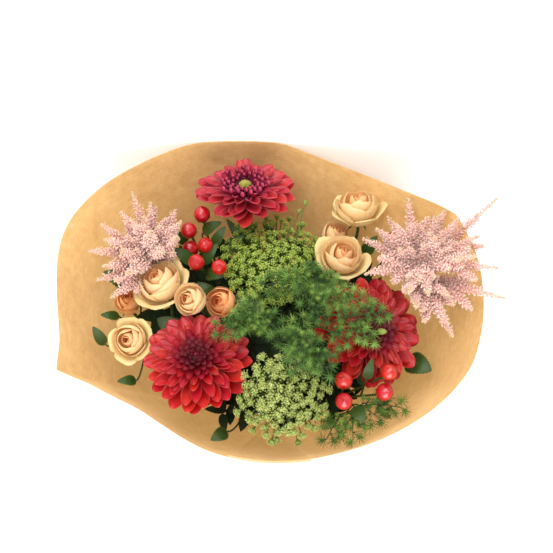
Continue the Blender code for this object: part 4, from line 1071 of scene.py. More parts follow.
def floret():
    """Tiny star of round petals with a raised middle, one in radius."""
    corners = 2 * FLORET_PETALS
    ring = np.arange(corners)
    outer = ring % 2 == 0
    rim = cylindrical(np.where(outer, 1.0, 0.45), round_angles(corners), np.where(outer, 0.12, 0))
    points = np.concatenate([rim, [[0, 0, 0.35]]])
    faces = np.stack([ring, (ring + 1) % corners, np.full(corners, corners)], -1)
    tone = np.concatenate([np.where(outer, 0.35, 0.1), [0.0]])
    return points, [faces], np.zeros((len(points), 2)), tone


def hair():
    """Three-sided spike, one long up local z."""
    points = np.concatenate([cylindrical(1.0, round_angles(3)), [[0, 0, 1.0]]])
    faces = np.array([[0, 1, 3], [1, 2, 3], [2, 0, 3]])
    places = np.array([[0, 0], [0.5, 0], [1, 0], [0.5, 1]], float)
    return points, [faces], places, np.array([0, 0, 0, 0.25])


def spikes(heap, roots, tips, radius, tones):
    """Fine spikes from rows of roots to rows of tips."""
    away = tips - roots
    length = np.linalg.norm(away, axis=1)
    sizes = np.stack([np.full_like(length, radius), np.full_like(length, radius), length], -1)
    heap.scatter(hair(), roots, turns_to(away) * sizes[:, None], np.broadcast_to(tones, len(roots)))


def build_umbel(name, material):
    """Flat-topped head: rays from the stem's tip, and on each an umbellet of tiny florets."""
    centre, lean, toward, radius, count, florets, spread, dome, core_size = UMBELS[name]
    stem_tone, ray_tone, stalk_tone, core_tone, floret_tone = UMBEL_TONES
    core = np.array(((0, -0.9), (0.45, -0.5), (0.82, -0.1), (0.7, 0.55 * dome), (0, 0.8 * dome)))
    core = core * spread * core_size
    axis = direction(lean, toward)
    matrix = pose(centre, axis)
    hub = matrix @ Vector((0, 0, -0.8 * radius))
    heap, _ = start_stem(name, hub, axis, 2.1, tone=stem_tone)
    star, number, low = floret(), np.arange(florets), np.array(hub)
    for index in range(count):
        out = radius * 0.93 * math.sqrt((index + 0.5) / count) + rng.normal(0, UMBEL_STRAY)
        angle = index * GOLDEN + rng.normal(0, 0.06 * UMBEL_STRAY)
        spot = matrix @ polar(out, angle, rng.normal(0.8, 1.2) - UMBEL_DOME * (out / radius) ** 2)
        outward = np.array((spot - hub).normalized())
        base = np.array(spot) - outward * spread * 0.9
        bend = mix(low, base, 0.5) - np.array(axis) * 3
        heap.add(tube(bezier(hub, mix(low, bend, 0.7), bend, base, 7), 0.55, 5, ray_tone))
        uneven = 1 + rng.normal(0, 0.08 * UMBEL_STRAY, florets)
        reach = spread * np.sqrt((number + 0.6) / florets) * uneven
        turn = number * GOLDEN + index + rng.normal(0, 0.12 * UMBEL_STRAY, florets)
        dots = cylindrical(reach, turn, spread * dome * (1 - (reach / spread) ** 2))
        tips = np.array(spot) + dots @ turns_to(outward[None], np.array([0.0]))[0].T
        spikes(heap, np.repeat(base[None], florets, 0), tips, TINY_STALK, stalk_tone)
        heap.add(lathe(core, 8, pose(spot, outward), core_tone), vary=rng.random())
        axes = unit(tips - base) * 0.6 + outward * 0.8
        tones = floret_tone - 0.30 * (reach / spread) ** 2
        sizes = rng.uniform(0.8, 1.2, florets)
        heap.scatter(star, tips, turns_to(axes, None, sizes), tones + rng.normal(0, 0.07, florets))
    heap.dress(name, material, "umbel_green")


# ---------------------------------------------------------------- hypericum berries

BERRIES = {  # centres
    "hypericum_1": ((-60, 84, 231), (-71, 67, 232), (-56, 50, 236), (-70, 56, 219), (-63, 31, 240),
                    (-43, 24, 244)),
    "hypericum_2": ((60, -80, 243), (60, -97, 240), (97, -73, 244), (94, -85, 231)),
}
BERRY_RADIUS = 7.4
BERRY_SIDES = 26
BERRY_SHRINK = 0.04                 # how much smaller the second and third of three berries are
BERRY_SEPALS = (5, 7.2, 4.6, -0.42, 0.55)       # how many, reach, width, droop and tone
# Radius and height up a berry, by its radius: it ends in a short style
BERRY_PROFILE = ((0, -1.0), (0.30, -0.96), (0.60, -0.82), (0.83, -0.55), (0.96, -0.2), (0.98, 0.12),
                 (0.88, 0.45), (0.70, 0.72), (0.46, 0.93), (0.22, 1.06), (0.07, 1.13), (0.05, 1.22),
                 (0, 1.25))
HYPERICUM_FORKS = {"hypericum_1": (-44, 46, 168), "hypericum_2": (62, -66, 178)}
HYPERICUM_LEAVES = {  # base point, tip point, width
    "hypericum_1": (((-60, 76, 212), (-44, 78, 228), 11), ((-66, 44, 214), (-84, 50, 230), 12),
                    ((-50, 60, 216), (-40, 70, 233), 10), ((-58, 40, 220), (-46, 50, 238), 10)),
    "hypericum_2": (((70, -92, 216), (76, -110, 228), 12), ((80, -70, 222), (84, -60, 240), 9)),
}


def build_hypericum(stem, berry_material, leaf_material):
    """Berries, and their forked stem with a collar of sepals under each, and narrow leaves."""
    fork = Vector(HYPERICUM_FORKS[stem])
    heap, main = start_stem(stem, fork, UP, 1.7, FORK_LIFT)
    stalks = [main]
    for index, centre in enumerate(BERRIES[stem]):
        radius = BERRY_RADIUS * (1 - BERRY_SHRINK * (index % 3))
        axis = (Vector(centre) - fork + UP * 30).normalized()
        berry = Heap()
        berry.add(lathe(BERRY_PROFILE, BERRY_SIDES, pose(centre, axis) @ Matrix.Scale(radius, 4),
                        np.linspace(0, 1, len(BERRY_PROFILE))[:, None]))
        berry.dress(f"{stem}_berry_{index + 1}", berry_material, "berry_red")
        end = Vector(centre) - axis * (radius + 0.5)
        stalk = bezier(main[-2 - index], mix(fork, end, 0.4), end - axis * 12, end, 12)
        stalks.append(stalk)
        heap.add(tube(stalk, 1.0, 7, 0.35))
        sepals(heap, pose(end, axis), *BERRY_SEPALS)
    for base, tip, width in HYPERICUM_LEAVES[stem]:
        stalked_leaf(heap, stalks, base, tip, width, 0)
    heap.dress(stem + "_stem", leaf_material, "leaf_green")


# ---------------------------------------------------------------- astilbe

ASTILBES = {  # base of the plume, its hub, and the tips of its feathery spikes
    "astilbe_1": ((-97, 37, 178), (-103, 44, 222),
                  ((-121, 99, 244), (-104, 84, 252), (-82, 80, 246), (-76, 62, 256), (-79, 44, 262),
                   (-147, 67, 244), (-141, 46, 254), (-156, 43, 238), (-141, 22, 250),
                   (-147, 16, 236), (-117, 57, 268), (-101, 44, 272), (-124, 30, 266))),
    "astilbe_2": ((119, 30, 190), (130, 32, 230),
                  ((196, 85, 256), (177, 45, 262), (172, 22, 268), (191, 17, 256), (196, -10, 252),
                   (120, 90, 248), (101, 69, 252), (90, 52, 260), (146, 69, 254), (161, 62, 262),
                   (114, -14, 272), (130, -13, 266), (148, -11, 260), (147, -35, 254))),
}
PLUME_FILL = {  # tips of the spikes that fill a plume out
    "astilbe_1": ((-133, -5, 244), (-120, 10, 258), (-90, 30, 260), (-108, 62, 264),
                  (-128, 72, 256)),
    "astilbe_2": ((79, 46, 254), (79, 8, 262), (120, -24, 264), (151, -42, 246), (160, 18, 270),
                  (140, 42, 264), (108, 30, 266), (152, 78, 250)),
}
# Reach of a spike's twigs, from its root to its tip
SPIKE_GIRTH = ((0, 3.8), (0.12, 6.2), (0.4, 6.4), (0.65, 5.2), (0.85, 3.4), (0.95, 2.1), (1.0, 0.9))
TWIG_STEPS = 5                      # florets along a twig
FLORET_STRAY = 0.42                 # millimetres
SIDE_TURNS = (-0.62, 0.55)          # radians from a spike to the shorter ones at its sides
SIDE_SWAY = 0.12                    # how far those turns stray
SIDE_REACH = (0.42, 0.6)            # length of the shorter spikes by the spike's
# Girth and twigs per millimetre of the plume's axis, its spikes and the shorter ones
AXIS_FEATHER, SPIKE_FEATHER, SIDE_FEATHER = (1.1, 1.2), (1.12, 2.2), (0.9, 2.0)
FACING = Vector((0, -0.35, 1)).normalized()


def puff():
    """Small six-sided fleck, longer up local z: a floret seen from afar."""
    points = np.array(((1, 0, 0), (-0.5, 0.866, 0), (-0.5, -0.866, 0), (0, 0, 1.5), (0, 0, -0.9)),
                      float)
    faces = np.array([(0, 1, 3), (1, 2, 3), (2, 0, 3), (1, 0, 4), (2, 1, 4), (0, 2, 4)])
    return points, [faces], np.zeros((5, 2)), np.array([0, 0, 0, 0.12, -0.08])


def feather(heap, path, girth, density):
    """Spike of a plume: short twigs crowded with florets all around it, shorter to its tip."""
    count = int(density * np.linalg.norm(np.diff(path, axis=0), axis=1).sum())
    share = (np.arange(count) + 0.5) / count
    place = share * (len(path) - 1)
    spots = np.stack([np.interp(place, np.arange(len(path)), path[:, part]) for part in range(3)],
                     -1)
    side, other = across_frames(path)
    low = np.minimum(place.astype(int), len(path) - 2)
    turn = np.arange(count) * GOLDEN
    outward = side[low] * np.cos(turn)[:, None] + other[low] * np.sin(turn)[:, None]
    reach = np.interp(share, *zip(*SPIKE_GIRTH)) * girth * rng.uniform(0.72, 1.12, count)
    twig = unit(outward + along_path(path)[low] * 0.55) * reach[:, None]
    steps = np.linspace(0.25, 1.0, TWIG_STEPS)
    seats = (spots[:, None] + twig[:, None] * steps[None, :, None]).reshape(-1, 3)
    total = len(seats)
    seats = seats + rng.normal(0, FLORET_STRAY, (total, 3))
    taper = np.repeat(np.interp(share, (0, 0.8, 1), (1, 0.9, 0.6)), TWIG_STEPS)
    scale = rng.uniform(0.78, 1.2, total) * taper
    axes = np.repeat(twig, TWIG_STEPS, 0) + rng.normal(0, 2.0, (total, 3))
    green = np.repeat(smooth(share, 0.80, 1.0), TWIG_STEPS)
    tones = 0.18 + 0.34 * np.tile(steps, count) + 0.42 * green + rng.normal(0, 0.03, total)
    heap.scatter(puff(), seats, turns_to(axes, None, scale), tones)
    heap.add(tube(path, np.linspace(1.2, 0.4, len(path)), 5, 0.3))


def build_astilbe(name, material, stem_material):
    """Plume of feathery spikes from a common hub, and the stem under it."""
    base, hub = (Vector(point) for point in ASTILBES[name][:2])
    heap = Heap()
    above = hub + (hub - base) * 0.45
    feather(heap, bezier(base, mix(base, hub, 0.5), hub, above, 12), *AXIS_FEATHER)
    for index, tip in enumerate((*ASTILBES[name][2], *PLUME_FILL[name])):
        root = mix(base, hub, 0.45 + 0.55 * (index % 4) / 3)
        bend = mix(root, Vector(tip), 0.45) + UP * 7
        path = bezier(root, mix(root, bend, 0.8), bend, tip, 16)
        feather(heap, path, *SPIKE_FEATHER)
        heading = Vector(path[-1]) - Vector(path[4])
        for turn in SIDE_TURNS:
            away = Matrix.Rotation(turn + rng.normal(0, SIDE_SWAY), 3, FACING) @ heading
            start = Vector(path[4 if turn > 0 else 6])
            end = start + away * rng.uniform(*SIDE_REACH) + UP * 4
            side = bezier(start, mix(start, end, 0.4) + UP * 2, mix(start, end, 0.7), end, 9)
            feather(heap, side, *SIDE_FEATHER)
    heap.dress(name + "_plume", material, "astilbe_pink")
    axis = (hub - base).normalized()
    stem, _ = start_stem(name, base + axis * 2, axis, 2.0, FORK_LIFT)
    stem.dress(name + "_stem", stem_material, "stem_green")


# ---------------------------------------------------------------- asparagus ferns

FERNS = {  # fork of the stem, and the ends of its sprays of needles
    "fern_1": ((33, -26, 238), ((43, -35, 268), (54, -22, 274), (66, -42, 278), (80, -56, 276),
                               (57, -58, 270), (88, -40, 280), (74, -22, 276))),
    "fern_2": ((34, 6, 205), ((24, 5, 262), (40, 3, 264), (56, -6, 266), (30, -12, 262),
                             (48, -12, 266), (4, 0, 258))),
    "fern_3": ((22, -52, 205), ((25, -38, 256), (12, -52, 260), (35, -61, 266), (44, -80, 272),
                               (25, -76, 270))),
    "fern_4": ((-14, -22, 222), ((0, -36, 252), (-24, -30, 254), (-34, -44, 258), (-12, -18, 248))),
    "fern_5": ((66, -82, 176), ((84, -99, 217), (103, -88, 211), (70, -112, 214), (50, -112, 212))),
}
# Sprays at the end of a branchlet: turn from its heading in radians, and size
FAN = ((0, 1.0), (-0.85, 0.55), (0.9, 0.5))
SPARSE_FAN = ((0, 0.85), (0.8, 0.4))
SPARSE_FERN = "fern_1"
FROND_LENGTH = 23.0
FROND_WIDTH = 12.0
FROND_STEPS = 5                     # side shoots on a spray
SHOOT_NODES = 3                     # places along a shoot where needles grow
NODE_NEEDLES = 4
TUFT_NEEDLES = 26
NEEDLE_LENGTH = 9.6
SHOOT_RADIUS = 0.25
NEEDLE_RADIUS = 0.34
TUFT_RADIUS = 0.36
TUFT_SLOPES = (0.95, -0.35)         # of its needles, from those that point up to the lowest


def frond(heap, path, facing, tone, scale):
    """Feathery spray: side shoots of a fine stalk, each with soft needles and a tuft at its end."""
    heap.add(tube(path, np.linspace(0.6, SHOOT_RADIUS, len(path)), 5, tone))
    along = along_path(path)
    for step, place in enumerate(np.linspace(0.1, 1.0, FROND_STEPS)):
        index = int(place * (len(path) - 1))
        side = unit(np.cross(along[index], facing))
        normal = np.cross(side, along[index])
        sign = 1 - 2 * (step % 2)
        reach = scale * FROND_WIDTH * math.sin(math.pi * (0.22 + 0.70 * place))
        reach *= rng.uniform(0.6, 1.1)
        away = unit(along[index] * 0.8 + sign * side + normal * rng.normal(0, 0.25))
        start = path[index]
        end = start + away * reach
        spikes(heap, start[None], end[None], SHOOT_RADIUS, tone)
        light = tone + rng.uniform(-0.08, 0.12)
        needles(heap, start, end, normal, light, scale)
        tuft(heap, end, away, normal, light, scale)


def tuft(heap, spot, away, normal, tone, scale):
    """Burst of soft needles around the end of a shoot."""
    turn = np.arange(TUFT_NEEDLES) * GOLDEN
    slope = np.linspace(*TUFT_SLOPES, TUFT_NEEDLES)
    side = np.cross(away, normal)
    axis = unit(normal + 0.6 * away)
    across = np.cross(axis, side)
    flat = np.sqrt(1 - slope ** 2)
    axes = (axis * slope[:, None] + side * (flat * np.cos(turn))[:, None]
            + across * (flat * np.sin(turn))[:, None])
    lengths = scale * NEEDLE_LENGTH * rng.uniform(0.7, 1.05, TUFT_NEEDLES)
    roots = np.repeat(spot[None], TUFT_NEEDLES, 0)
    # Painted light: needles that point up are lighter on the colour ramp, those that point down
    # darker.
    spikes(heap, roots, roots + axes * lengths[:, None], TUFT_RADIUS,
           tone + 0.35 * (slope + 0.35))


def needles(heap, start, end, normal, tone, scale):
    """Soft needles along a shoot, pointing forward and out to both sides."""
    steps = np.repeat(np.linspace(0.12, 1.0, SHOOT_NODES), NODE_NEEDLES)
    away = unit(end - start)
    side = np.cross(away, normal)
    roots = start + (end - start) * steps[:, None]
    total = len(steps)
    sway = np.tile(np.linspace(-1, 1, NODE_NEEDLES), SHOOT_NODES) + rng.normal(0, 0.15, total)
    axes = away * (1.15 - 0.35 * np.abs(sway))[:, None] + side * sway[:, None]
    axes = axes + normal * rng.normal(0.05, 0.30, total)[:, None]
    lengths = scale * NEEDLE_LENGTH * rng.uniform(0.7, 1.1, total) * (1.15 - 0.4 * steps)
    spikes(heap, roots, roots + unit(axes) * lengths[:, None], NEEDLE_RADIUS,
           tone + 0.45 * steps + rng.normal(0, 0.08, total))


def build_fern(name, material):
    """Asparagus fern: a forked stem whose branchlets end in flat feathery sprays."""
    fork, ends = FERNS[name]
    fork = Vector(fork)
    heap, main = start_stem(name, fork, UP, 1.3, 60)
    for index, end in enumerate(ends):
        end = Vector(end)
        flat = Vector((end.x - fork.x, end.y - fork.y, 0))
        spread = (flat.normalized() + UP * 0.30).normalized()
        joint = end - spread * FROND_LENGTH * 0.62
        root = Vector(main[-2 - index % 4])
        rise = bezier(root, mix(root, joint, 0.4) + UP * 6, joint - spread * 8, joint, 9)
        heap.add(tube(rise, 0.75, 5, 0.2))
        for turn, scale in SPARSE_FAN if name == SPARSE_FERN else FAN:
            heading = Matrix.Rotation(turn + rng.normal(0, 0.12), 3, FACING) @ spread
            reach = FROND_LENGTH * scale
            middle = joint + heading * reach * 0.5 + UP * 2.5
            tip = joint + heading * reach - UP * 1.5
            tone = 0.44 * rng.random() ** 2
            path = bezier(joint, mix(joint, middle, 0.7), middle, tip, 12)
            frond(heap, path, FACING, tone, scale)
    heap.dress(name, material, "fern_green")


# ---------------------------------------------------------------- twine

TWINE_RADIUS = 1.1
TWINE_TURNS = 3
TWINE_PITCH = 2.112                 # height of one turn above the next
TWINE_PLAY = 0.8                    # between the paper and the twine's innermost point
TWINE_STEPS = 240
TWINE_SIDES = 12
TWINE_TWIST = 24                    # turns of the plies in one turn around the neck


def build_twine(material):
    """Turns of two-ply twine around the neck."""
    radius = (PAPER_NECK + PAPER_LAP_GAP * (1 + PAPER_OVERLAP / 360) + PAPER_THICKNESS + TWINE_PLAY
              + TWINE_RADIUS)
    heap = Heap()
    around = np.linspace(0, FULL_TURN, TWINE_STEPS + 1)[:, None]
    section = round_angles(TWINE_SIDES)[None]
    reach = TWINE_RADIUS * (0.86 + 0.16 * np.abs(np.cos(section - TWINE_TWIST * around)))
    out = radius + reach * np.cos(section)
    for turn in range(TWINE_TURNS):
        height = (turn - (TWINE_TURNS - 1) / 2) * TWINE_PITCH - TIE_BAND / 2
        points = cylindrical(out, around, height + reach * np.sin(section))
        heap.add(grid(points, 0.5, closed=True))
    heap.dress("twine_tie", material, "twine")


# ---------------------------------------------------------------- dark filler foliage

FILLER_SPRIGS = 66
FILLER_DEEP = 26                    # the innermost ones have leaves lower down too
FILLER_CENTRE = (2.0, 2.0)
FILLER_REACH = (106.0, 94.0)
FILLER_HEIGHT = 197.0
FILLER_DOME = 22.0                  # how much lower the outermost sprigs end
FILLER_LEAF = (0, 0.3, 0.1)         # teeth, fold and arch
SHEATHS = 22                        # leaves that close the neck
PAPER_ROOM = 7.0                    # kept between the filler leaves and the paper
SPRIG_ROOT = 66.0                   # height where sprigs and petioles leave the bunch
DRESSING_LEAF = (11, 0.3, 0.12)     # the same of the larger leaves
# Larger leaves between the heads: base point, tip point, width
DRESSING = (
    ((-6, 16, 204), (-36, 2, 216), 22), ((-56, 36, 208), (-40, 26, 226), 13),
    ((-86, -14, 196), (-76, -30, 208), 15), ((-40, 58, 206), (-24, 66, 224), 12),
    ((-74, 70, 204), (-88, 74, 220), 11), ((-36, -104, 192), (-48, -116, 204), 13),
    ((30, 30, 214), (44, 40, 228), 12), ((-46, 14, 206), (-62, 22, 220), 12),
    ((-22, 66, 206), (-38, 84, 222), 10), ((-132, 2, 194), (-146, -2, 206), 9),
    ((40, -48, 206), (30, -66, 218), 14), ((74, -56, 196), (92, -66, 208), 14),
)
# Small buds: foot of the stalk, its tip, radius, and then (radius, height) rows by that radius
BUDS = (((66, -44, 262), (87, -52, 277), 2.6), ((24, 62, 236), (30, 84, 246), 1.8),
        ((16, 64, 236), (24, 76, 246), 1.6))
BUD_PROFILE = ((0, -0.3), (0.7, 0.1), (1.0, 1.0), (0.85, 2.0), (0.4, 2.8), (0, 3.1))
BUD_LAYERS = 6
BUD_SHRINK = 0.9                    # size of each layer by the one outside it


def paper_room(point):
    """Distance from a point out to the paper, less a margin."""
    clock = math.degrees(math.atan2(point[1], point[0]))
    radius, height = rim_at(clock)
    share = max(point[2], 1) / height
    wall = PAPER_NECK + (radius - PAPER_NECK) * share ** PAPER_BELLY
    return wall - math.hypot(point[0], point[1]) - PAPER_ROOM


def sprig_root(tip):
    """Where the stalk to a tip leaves the bunch of stems."""
    return Vector((tip.x * 0.12, tip.y * 0.12, SPRIG_ROOT))


def build_filler(material):
    """Bed of dark leafy sprigs under the heads, their leaves darkened as painted shade of the deep
    gaps.

    Their stalks come up out of the bunch of stems.
    """
    heap = Heap()
    for index in range(FILLER_SPRIGS):
        out = math.sqrt((index + 0.6) / FILLER_SPRIGS)
        turn = index * GOLDEN
        tip = Vector((FILLER_CENTRE[0] + FILLER_REACH[0] * out * math.cos(turn),
                      FILLER_CENTRE[1] + FILLER_REACH[1] * out * math.sin(turn),
                      FILLER_HEIGHT - FILLER_DOME * out * out + rng.normal(0, 4)))
        root = sprig_root(tip)
        path = bezier(root, root + UP * 40, mix(root, tip, 0.7), tip, 12)
        heap.add(tube(path, np.linspace(1.1, 0.5, 12), 6, 0.2))
        for step in range(4 if index < FILLER_DEEP else 7, 12):
            for half_turn in (math.pi, 0):
                angle = step * GOLDEN * 2 + half_turn + index
                away = polar(1, angle, rng.uniform(0.1, 0.6)).normalized()
                length = rng.uniform(18, 28)
                start = Vector(path[step])
                end = start + away * length
                width, tone = length * rng.uniform(0.36, 0.5), rng.uniform(0.0, 0.3)
                if min(paper_room(start), paper_room(end)) >= 0:
                    heap.add(leaf(start, end, width, leaf_facing(away), *FILLER_LEAF, tone, 5))
    for index in range(SHEATHS):
        turn = index * GOLDEN
        start, end = polar(11, turn, 24), polar(rng.uniform(24, 36), turn, rng.uniform(46, 74))
        if index % 2:
            start, end = polar(12.5, turn, 1), polar(19, turn, 26)
        facing = (Vector((0, -0.3, 1)) - (end - start).normalized() * 0.8).normalized()
        heap.add(leaf(start, end, rng.uniform(12, 18), facing, *FILLER_LEAF, 0.1, 5))
    heap.build("dark_filler_leaves", material)


def build_dressing(material):
    """Larger leaves that show between the heads, on long petioles from the bunch of stems."""
    heap = Heap()
    for base, tip, width in DRESSING:
        base, tip = Vector(base), Vector(tip)
        root = sprig_root(base)
        along = (tip - base).normalized()
        petiole = bezier(root, root + UP * 50, base - along * 14 - UP * 30, base, 14)
        heap.add(tube(petiole, np.linspace(1.2, 0.8, 14), 6, 0.3))
        heap.add(leaf(base, tip, width, leaf_facing(along, (0, -0.35, 1)), *DRESSING_LEAF))
    heap.build("dressing_leaves", material)


def build_buds(material):
    """Pale closed buds of overlapping scales, on thin stalks between the heads."""
    heap = Heap()
    for base, tip, radius in BUDS:
        base, tip = Vector(base), Vector(tip)
        axis = (tip - base).normalized()
        heap.add(tube(bezier(base, mix(base, tip, 0.4), tip - axis * 6, tip, 9), 0.6, 6, 0.2))
        for layer in range(BUD_LAYERS):
            profile = np.array(BUD_PROFILE) * radius * BUD_SHRINK ** layer
            heap.add(lathe(profile, 10, pose(tip, axis, layer), 0.4 + 0.1 * layer))
    heap.build("pale_buds", material)


# ---------------------------------------------------------------- stage

VIEW_LEAN = math.radians(28)        # angle of the view from the bunch's axis toward its front
VIEW_DISTANCE = 1100.0
VIEW_HEIGHT = 230.0                 # above the tie, of the point that the photo is centred near
VIEW_SHIFT = (5.525, 19.975)        # from there to the photo's centre, to the right and up
VIEW_WIDTH = 470.05                 # across the view, at the heads
SENSOR = 36.0
CLIP_START = 0.01
LAMP_TARGET = Vector((0, -0.12, 0.12))
LAMPS = {  # place from the target along the view's right, up and back; size and power
    "key_lamp": ((-0.5, 0.3, 1.7), 1.1, 18),
    "back_lamp": ((0.0, 1.3, 1.3), 1.2, 28),
    "front_lamp": ((0.1, -1.5, 0.9), 1.4, 40),
}
SKY_STRENGTH = 0.9
FLOOR_SIZE = 18.0
FLOOR_LEVEL = -0.0004               # just under the part, so that their faces don't meet
FLOOR_GREY = 0.93
FLOOR_ROUGHNESS = 0.6


def show(name, data, matrix=None):
    """Object added to the scene at a matrix."""
    thing = bpy.data.objects.new(name, data)
    if matrix:
        thing.matrix_world = matrix
    bpy.context.scene.collection.objects.link(thing)
    return thing


def build_camera():
    """Camera above the laid-down bouquet, looking at its heads with the front edge low in view.

    Returns the matrix of the view.
    """
    right = Vector((1, 0, 0))
    up = Vector((0, math.cos(VIEW_LEAN), math.sin(VIEW_LEAN)))
    back = Vector((0, -math.sin(VIEW_LEAN), math.cos(VIEW_LEAN)))
    look_at = UP * VIEW_HEIGHT + right * VIEW_SHIFT[0] + up * VIEW_SHIFT[1]
    turn = LAY_DOWN.to_3x3() * PER_METRE
    view = Matrix((turn @ right, turn @ up, turn @ back)).transposed().to_4x4()
    view.translation = LAY_DOWN @ (look_at + back * VIEW_DISTANCE)
    camera = bpy.data.cameras.new("photo_view")
    camera.sensor_width = SENSOR
    camera.lens = SENSOR * VIEW_DISTANCE / VIEW_WIDTH
    camera.clip_start = CLIP_START
    bpy.context.scene.camera = show("photo_view", camera, view)
    return view


def area_light(name, view, offset, size, power):
    """Square lamp at an offset given along the view's right, up and back, aimed at the heads."""
    lamp = bpy.data.lights.new(name, "AREA")
    lamp.size = size
    lamp.energy = power
    away = view.to_3x3() @ Vector(offset)
    turn = away.to_track_quat("Z", "Y").to_matrix().to_4x4()
    show(name, lamp, Matrix.Translation(LAMP_TARGET + away) @ turn)


def build_floor():
    """Plain pale floor."""
    mesh = bpy.data.meshes.new("floor")
    half = FLOOR_SIZE / 2
    mesh.from_pydata([(-half, -half, FLOOR_LEVEL), (half, -half, FLOOR_LEVEL),
                      (half, half, FLOOR_LEVEL), (-half, half, FLOOR_LEVEL)], [], [(0, 1, 2, 3)])
    look = Look("floor_paint")
    shade = look.math("MULTIPLY_ADD", look.noise(3.0), 0.02, FLOOR_GREY)
    grey = look.node("CombineColor", Red=shade, Green=shade, Blue=shade).outputs[0]
    mesh.materials.append(look.finish(grey, Roughness=FLOOR_ROUGHNESS))
    floor = show("floor", mesh)


def build_stage():
    """Pale floor, broad soft lamps and a white sky."""
    build_floor()
    view = build_camera()
    for name, (offset, size, power) in LAMPS.items():
        area_light(name, view, offset, size, power)
    world = bpy.data.worlds.new("studio")
    world.use_nodes = True
    sky = world.node_tree.nodes["Background"]
    sky.inputs["Color"].default_value = linear(WHITE)
    sky.inputs["Strength"].default_value = SKY_STRENGTH
    bpy.context.scene.world = world
    bpy.context.scene.view_settings.view_transform = "Standard"


# ---------------------------------------------------------------- the whole bouquet

# Colour ramps: place and sRGB colour
CORAL = ((0.0, (186, 28, 32)), (0.25, (170, 20, 30)), (0.5, (142, 12, 30)), (0.75, (108, 8, 26)),
         (1.0, (62, 6, 16)))
PINK = ((0.0, (188, 50, 56)), (0.3, (172, 34, 48)), (0.55, (136, 20, 48)), (0.8, (104, 16, 46)),
        (1.0, (70, 14, 38)))
EYE = ((0.0, (96, 104, 40)), (0.5, (158, 150, 66)), (0.8, (196, 182, 98)), (1.0, (214, 200, 120)))
ROSE = ((0.0, (234, 212, 150)), (0.14, (244, 218, 166)), (0.4, (243, 206, 150)),
        (0.75, (240, 178, 116)), (1.0, (222, 136, 78)))
PEACH = ((0.0, (248, 204, 146)), (0.3, (247, 186, 126)), (0.6, (244, 162, 98)),
         (0.85, (238, 138, 78)), (1.0, (226, 116, 62)))
LEAF = ((0.0, (30, 44, 16)), (0.4, (56, 78, 30)), (0.7, (84, 108, 44)), (1.0, (120, 140, 66)))
# Real leaves of the bed under the heads, on a ramp darker than the other leaves' as painted shade
# of the deep gaps.
LEAF_IN_PAINTED_SHADE = ((0.0, (18, 28, 10)), (0.4, (34, 50, 18)), (1.0, (70, 92, 38)))
STEM = ((0.0, (66, 96, 38)), (0.5, (98, 128, 56)), (1.0, (150, 160, 88)))
UMBEL_1 = ((0.0, (58, 84, 26)), (0.4, (112, 136, 44)), (0.7, (160, 178, 68)),
           (1.0, (200, 208, 110)))
UMBEL_2 = ((0.0, (66, 88, 34)), (0.4, (112, 128, 52)), (0.7, (160, 168, 84)),
           (1.0, (206, 206, 132)))
FERN = ((0.0, (26, 46, 16)), (0.3, (54, 86, 28)), (0.6, (96, 134, 50)), (1.0, (152, 176, 82)))
BERRY = ((0.0, (110, 10, 14)), (0.5, (172, 18, 22)), (1.0, (146, 12, 18)))
ASTILBE = ((0.0, (255, 196, 186)), (0.35, (255, 216, 205)), (0.6, (255, 226, 214)),
           (0.85, (250, 214, 186)), (0.97, (200, 196, 130)))
TWINE = ((0.0, (150, 118, 76)), (1.0, (206, 176, 124)))


# Looks that several materials share
OUTER_PETAL = {"veins": 0.07, "vary": 0.08, "hue": 0.004}
INNER_PETAL = {"veins": 0.05, "vary": 0.1, "hue": 0.004, "Specular_IOR_Level": 0.3}
SILKY = {"bump": 0.12, "veins": 0.03, "grain": 0.05}
FLAT = {"bump": 0, "vary": 0.2}


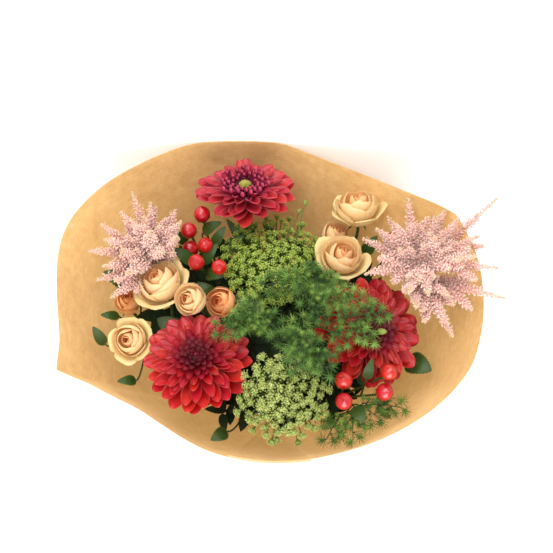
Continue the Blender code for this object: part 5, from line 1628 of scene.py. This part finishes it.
def build_dahlias(stem):
    """Three heads, the eye of the open one, and their stems."""
    # Each rim colour is a painted highlight on the petals' edges and, on the rolled petals, their
    # knobs.
    coral = tinted("dahlia_coral_petal", CORAL, 0.40, 0.2, rim=(0.85, (238, 128, 120)),
                   **OUTER_PETAL)
    pink = tinted("dahlia_pink_petal", PINK, 0.40, 0.2, rim=(0.65, (240, 140, 150)), **OUTER_PETAL)
    wine = tinted("dahlia_wine_petal", CORAL, 0.55, 0.12, rim=(0.5, (172, 34, 70)), **INNER_PETAL)
    plum = tinted("dahlia_plum_petal", PINK, 0.55, 0.12, rim=(0.75, (206, 92, 128)), highlight_tip=5.0,
                  **INNER_PETAL)
    for name in DAHLIAS:
        build_dahlia(name, *((pink, plum) if name == OPEN_HEAD else (coral, wine)))
    build_dahlia_eye(tinted("dahlia_eye_bud", EYE, 0.5, 0.1))
    for name in DAHLIAS:
        build_dahlia_stem(name, stem)


def build_roses(green):
    """Nine blooms and the four sprays that bear them."""
    cream = tinted("rose_cream_petal", ROSE, 0.5, 0.36, vary=0.04, **SILKY)
    peach = tinted("rose_peach_petal", PEACH, 0.5, 0.28, vary=0.05, **SILKY)
    for name in ROSES:
        build_rose(name, peach if name in PEACH_ROSES else cream)
    for name in SPRAYS:
        build_rose_spray(name, green)


def main():
    """Builds the stage and every piece. The order fixes which random numbers each piece gets."""
    build_stage()
    build_paper(kraft_look())
    build_twine(tinted("twine_fibre", TWINE, 0.85, 0.0, 0.6, grain=0.3, scale=900))
    stem = tinted("stem_skin", STEM, 0.5, 0.0, 0.3, grain=0.2, scale=240)
    green = tinted("leaf_blade", LEAF, 0.5, 0.12, 0.4, veins=0.06, grain=0.2)
    build_dahlias(stem)
    build_roses(green)
    build_umbel("umbel_1", tinted("umbel_floret", UMBEL_1, 0.6, 0.15, **FLAT))
    build_umbel("umbel_2", tinted("umbel_lace_floret", UMBEL_2, 0.6, 0.15, **FLAT))
    berry = tinted("berry_skin", BERRY, 0.3, 0.0, 0.05, vary=0.08, hue=0.003, grain=0.08,
                   Coat_Weight=0.3, Coat_Roughness=0.15)
    for name in BERRIES:
        build_hypericum(name, berry, green)
    plume = tinted("astilbe_floret", ASTILBE, 0.8, 0.34, 0, vary=0.03, grain=0.05)
    for name in ASTILBES:
        build_astilbe(name, plume, stem)
    needle = tinted("fern_needle", FERN, 0.6, 0.15, 0, vary=0.15)
    for name in FERNS:
        build_fern(name, needle)
    build_dressing(green)
    build_buds(tinted("bud_scale", UMBEL_2, 0.5, 0.2))
    # The filler leaves' darker ramp and low specular are painted shade.
    build_filler(tinted("filler_leaf", LEAF_IN_PAINTED_SHADE, 0.75, 0.05, 0.3, veins=0.05, vary=0.25,
                        Specular_IOR_Level=0.2))


main()
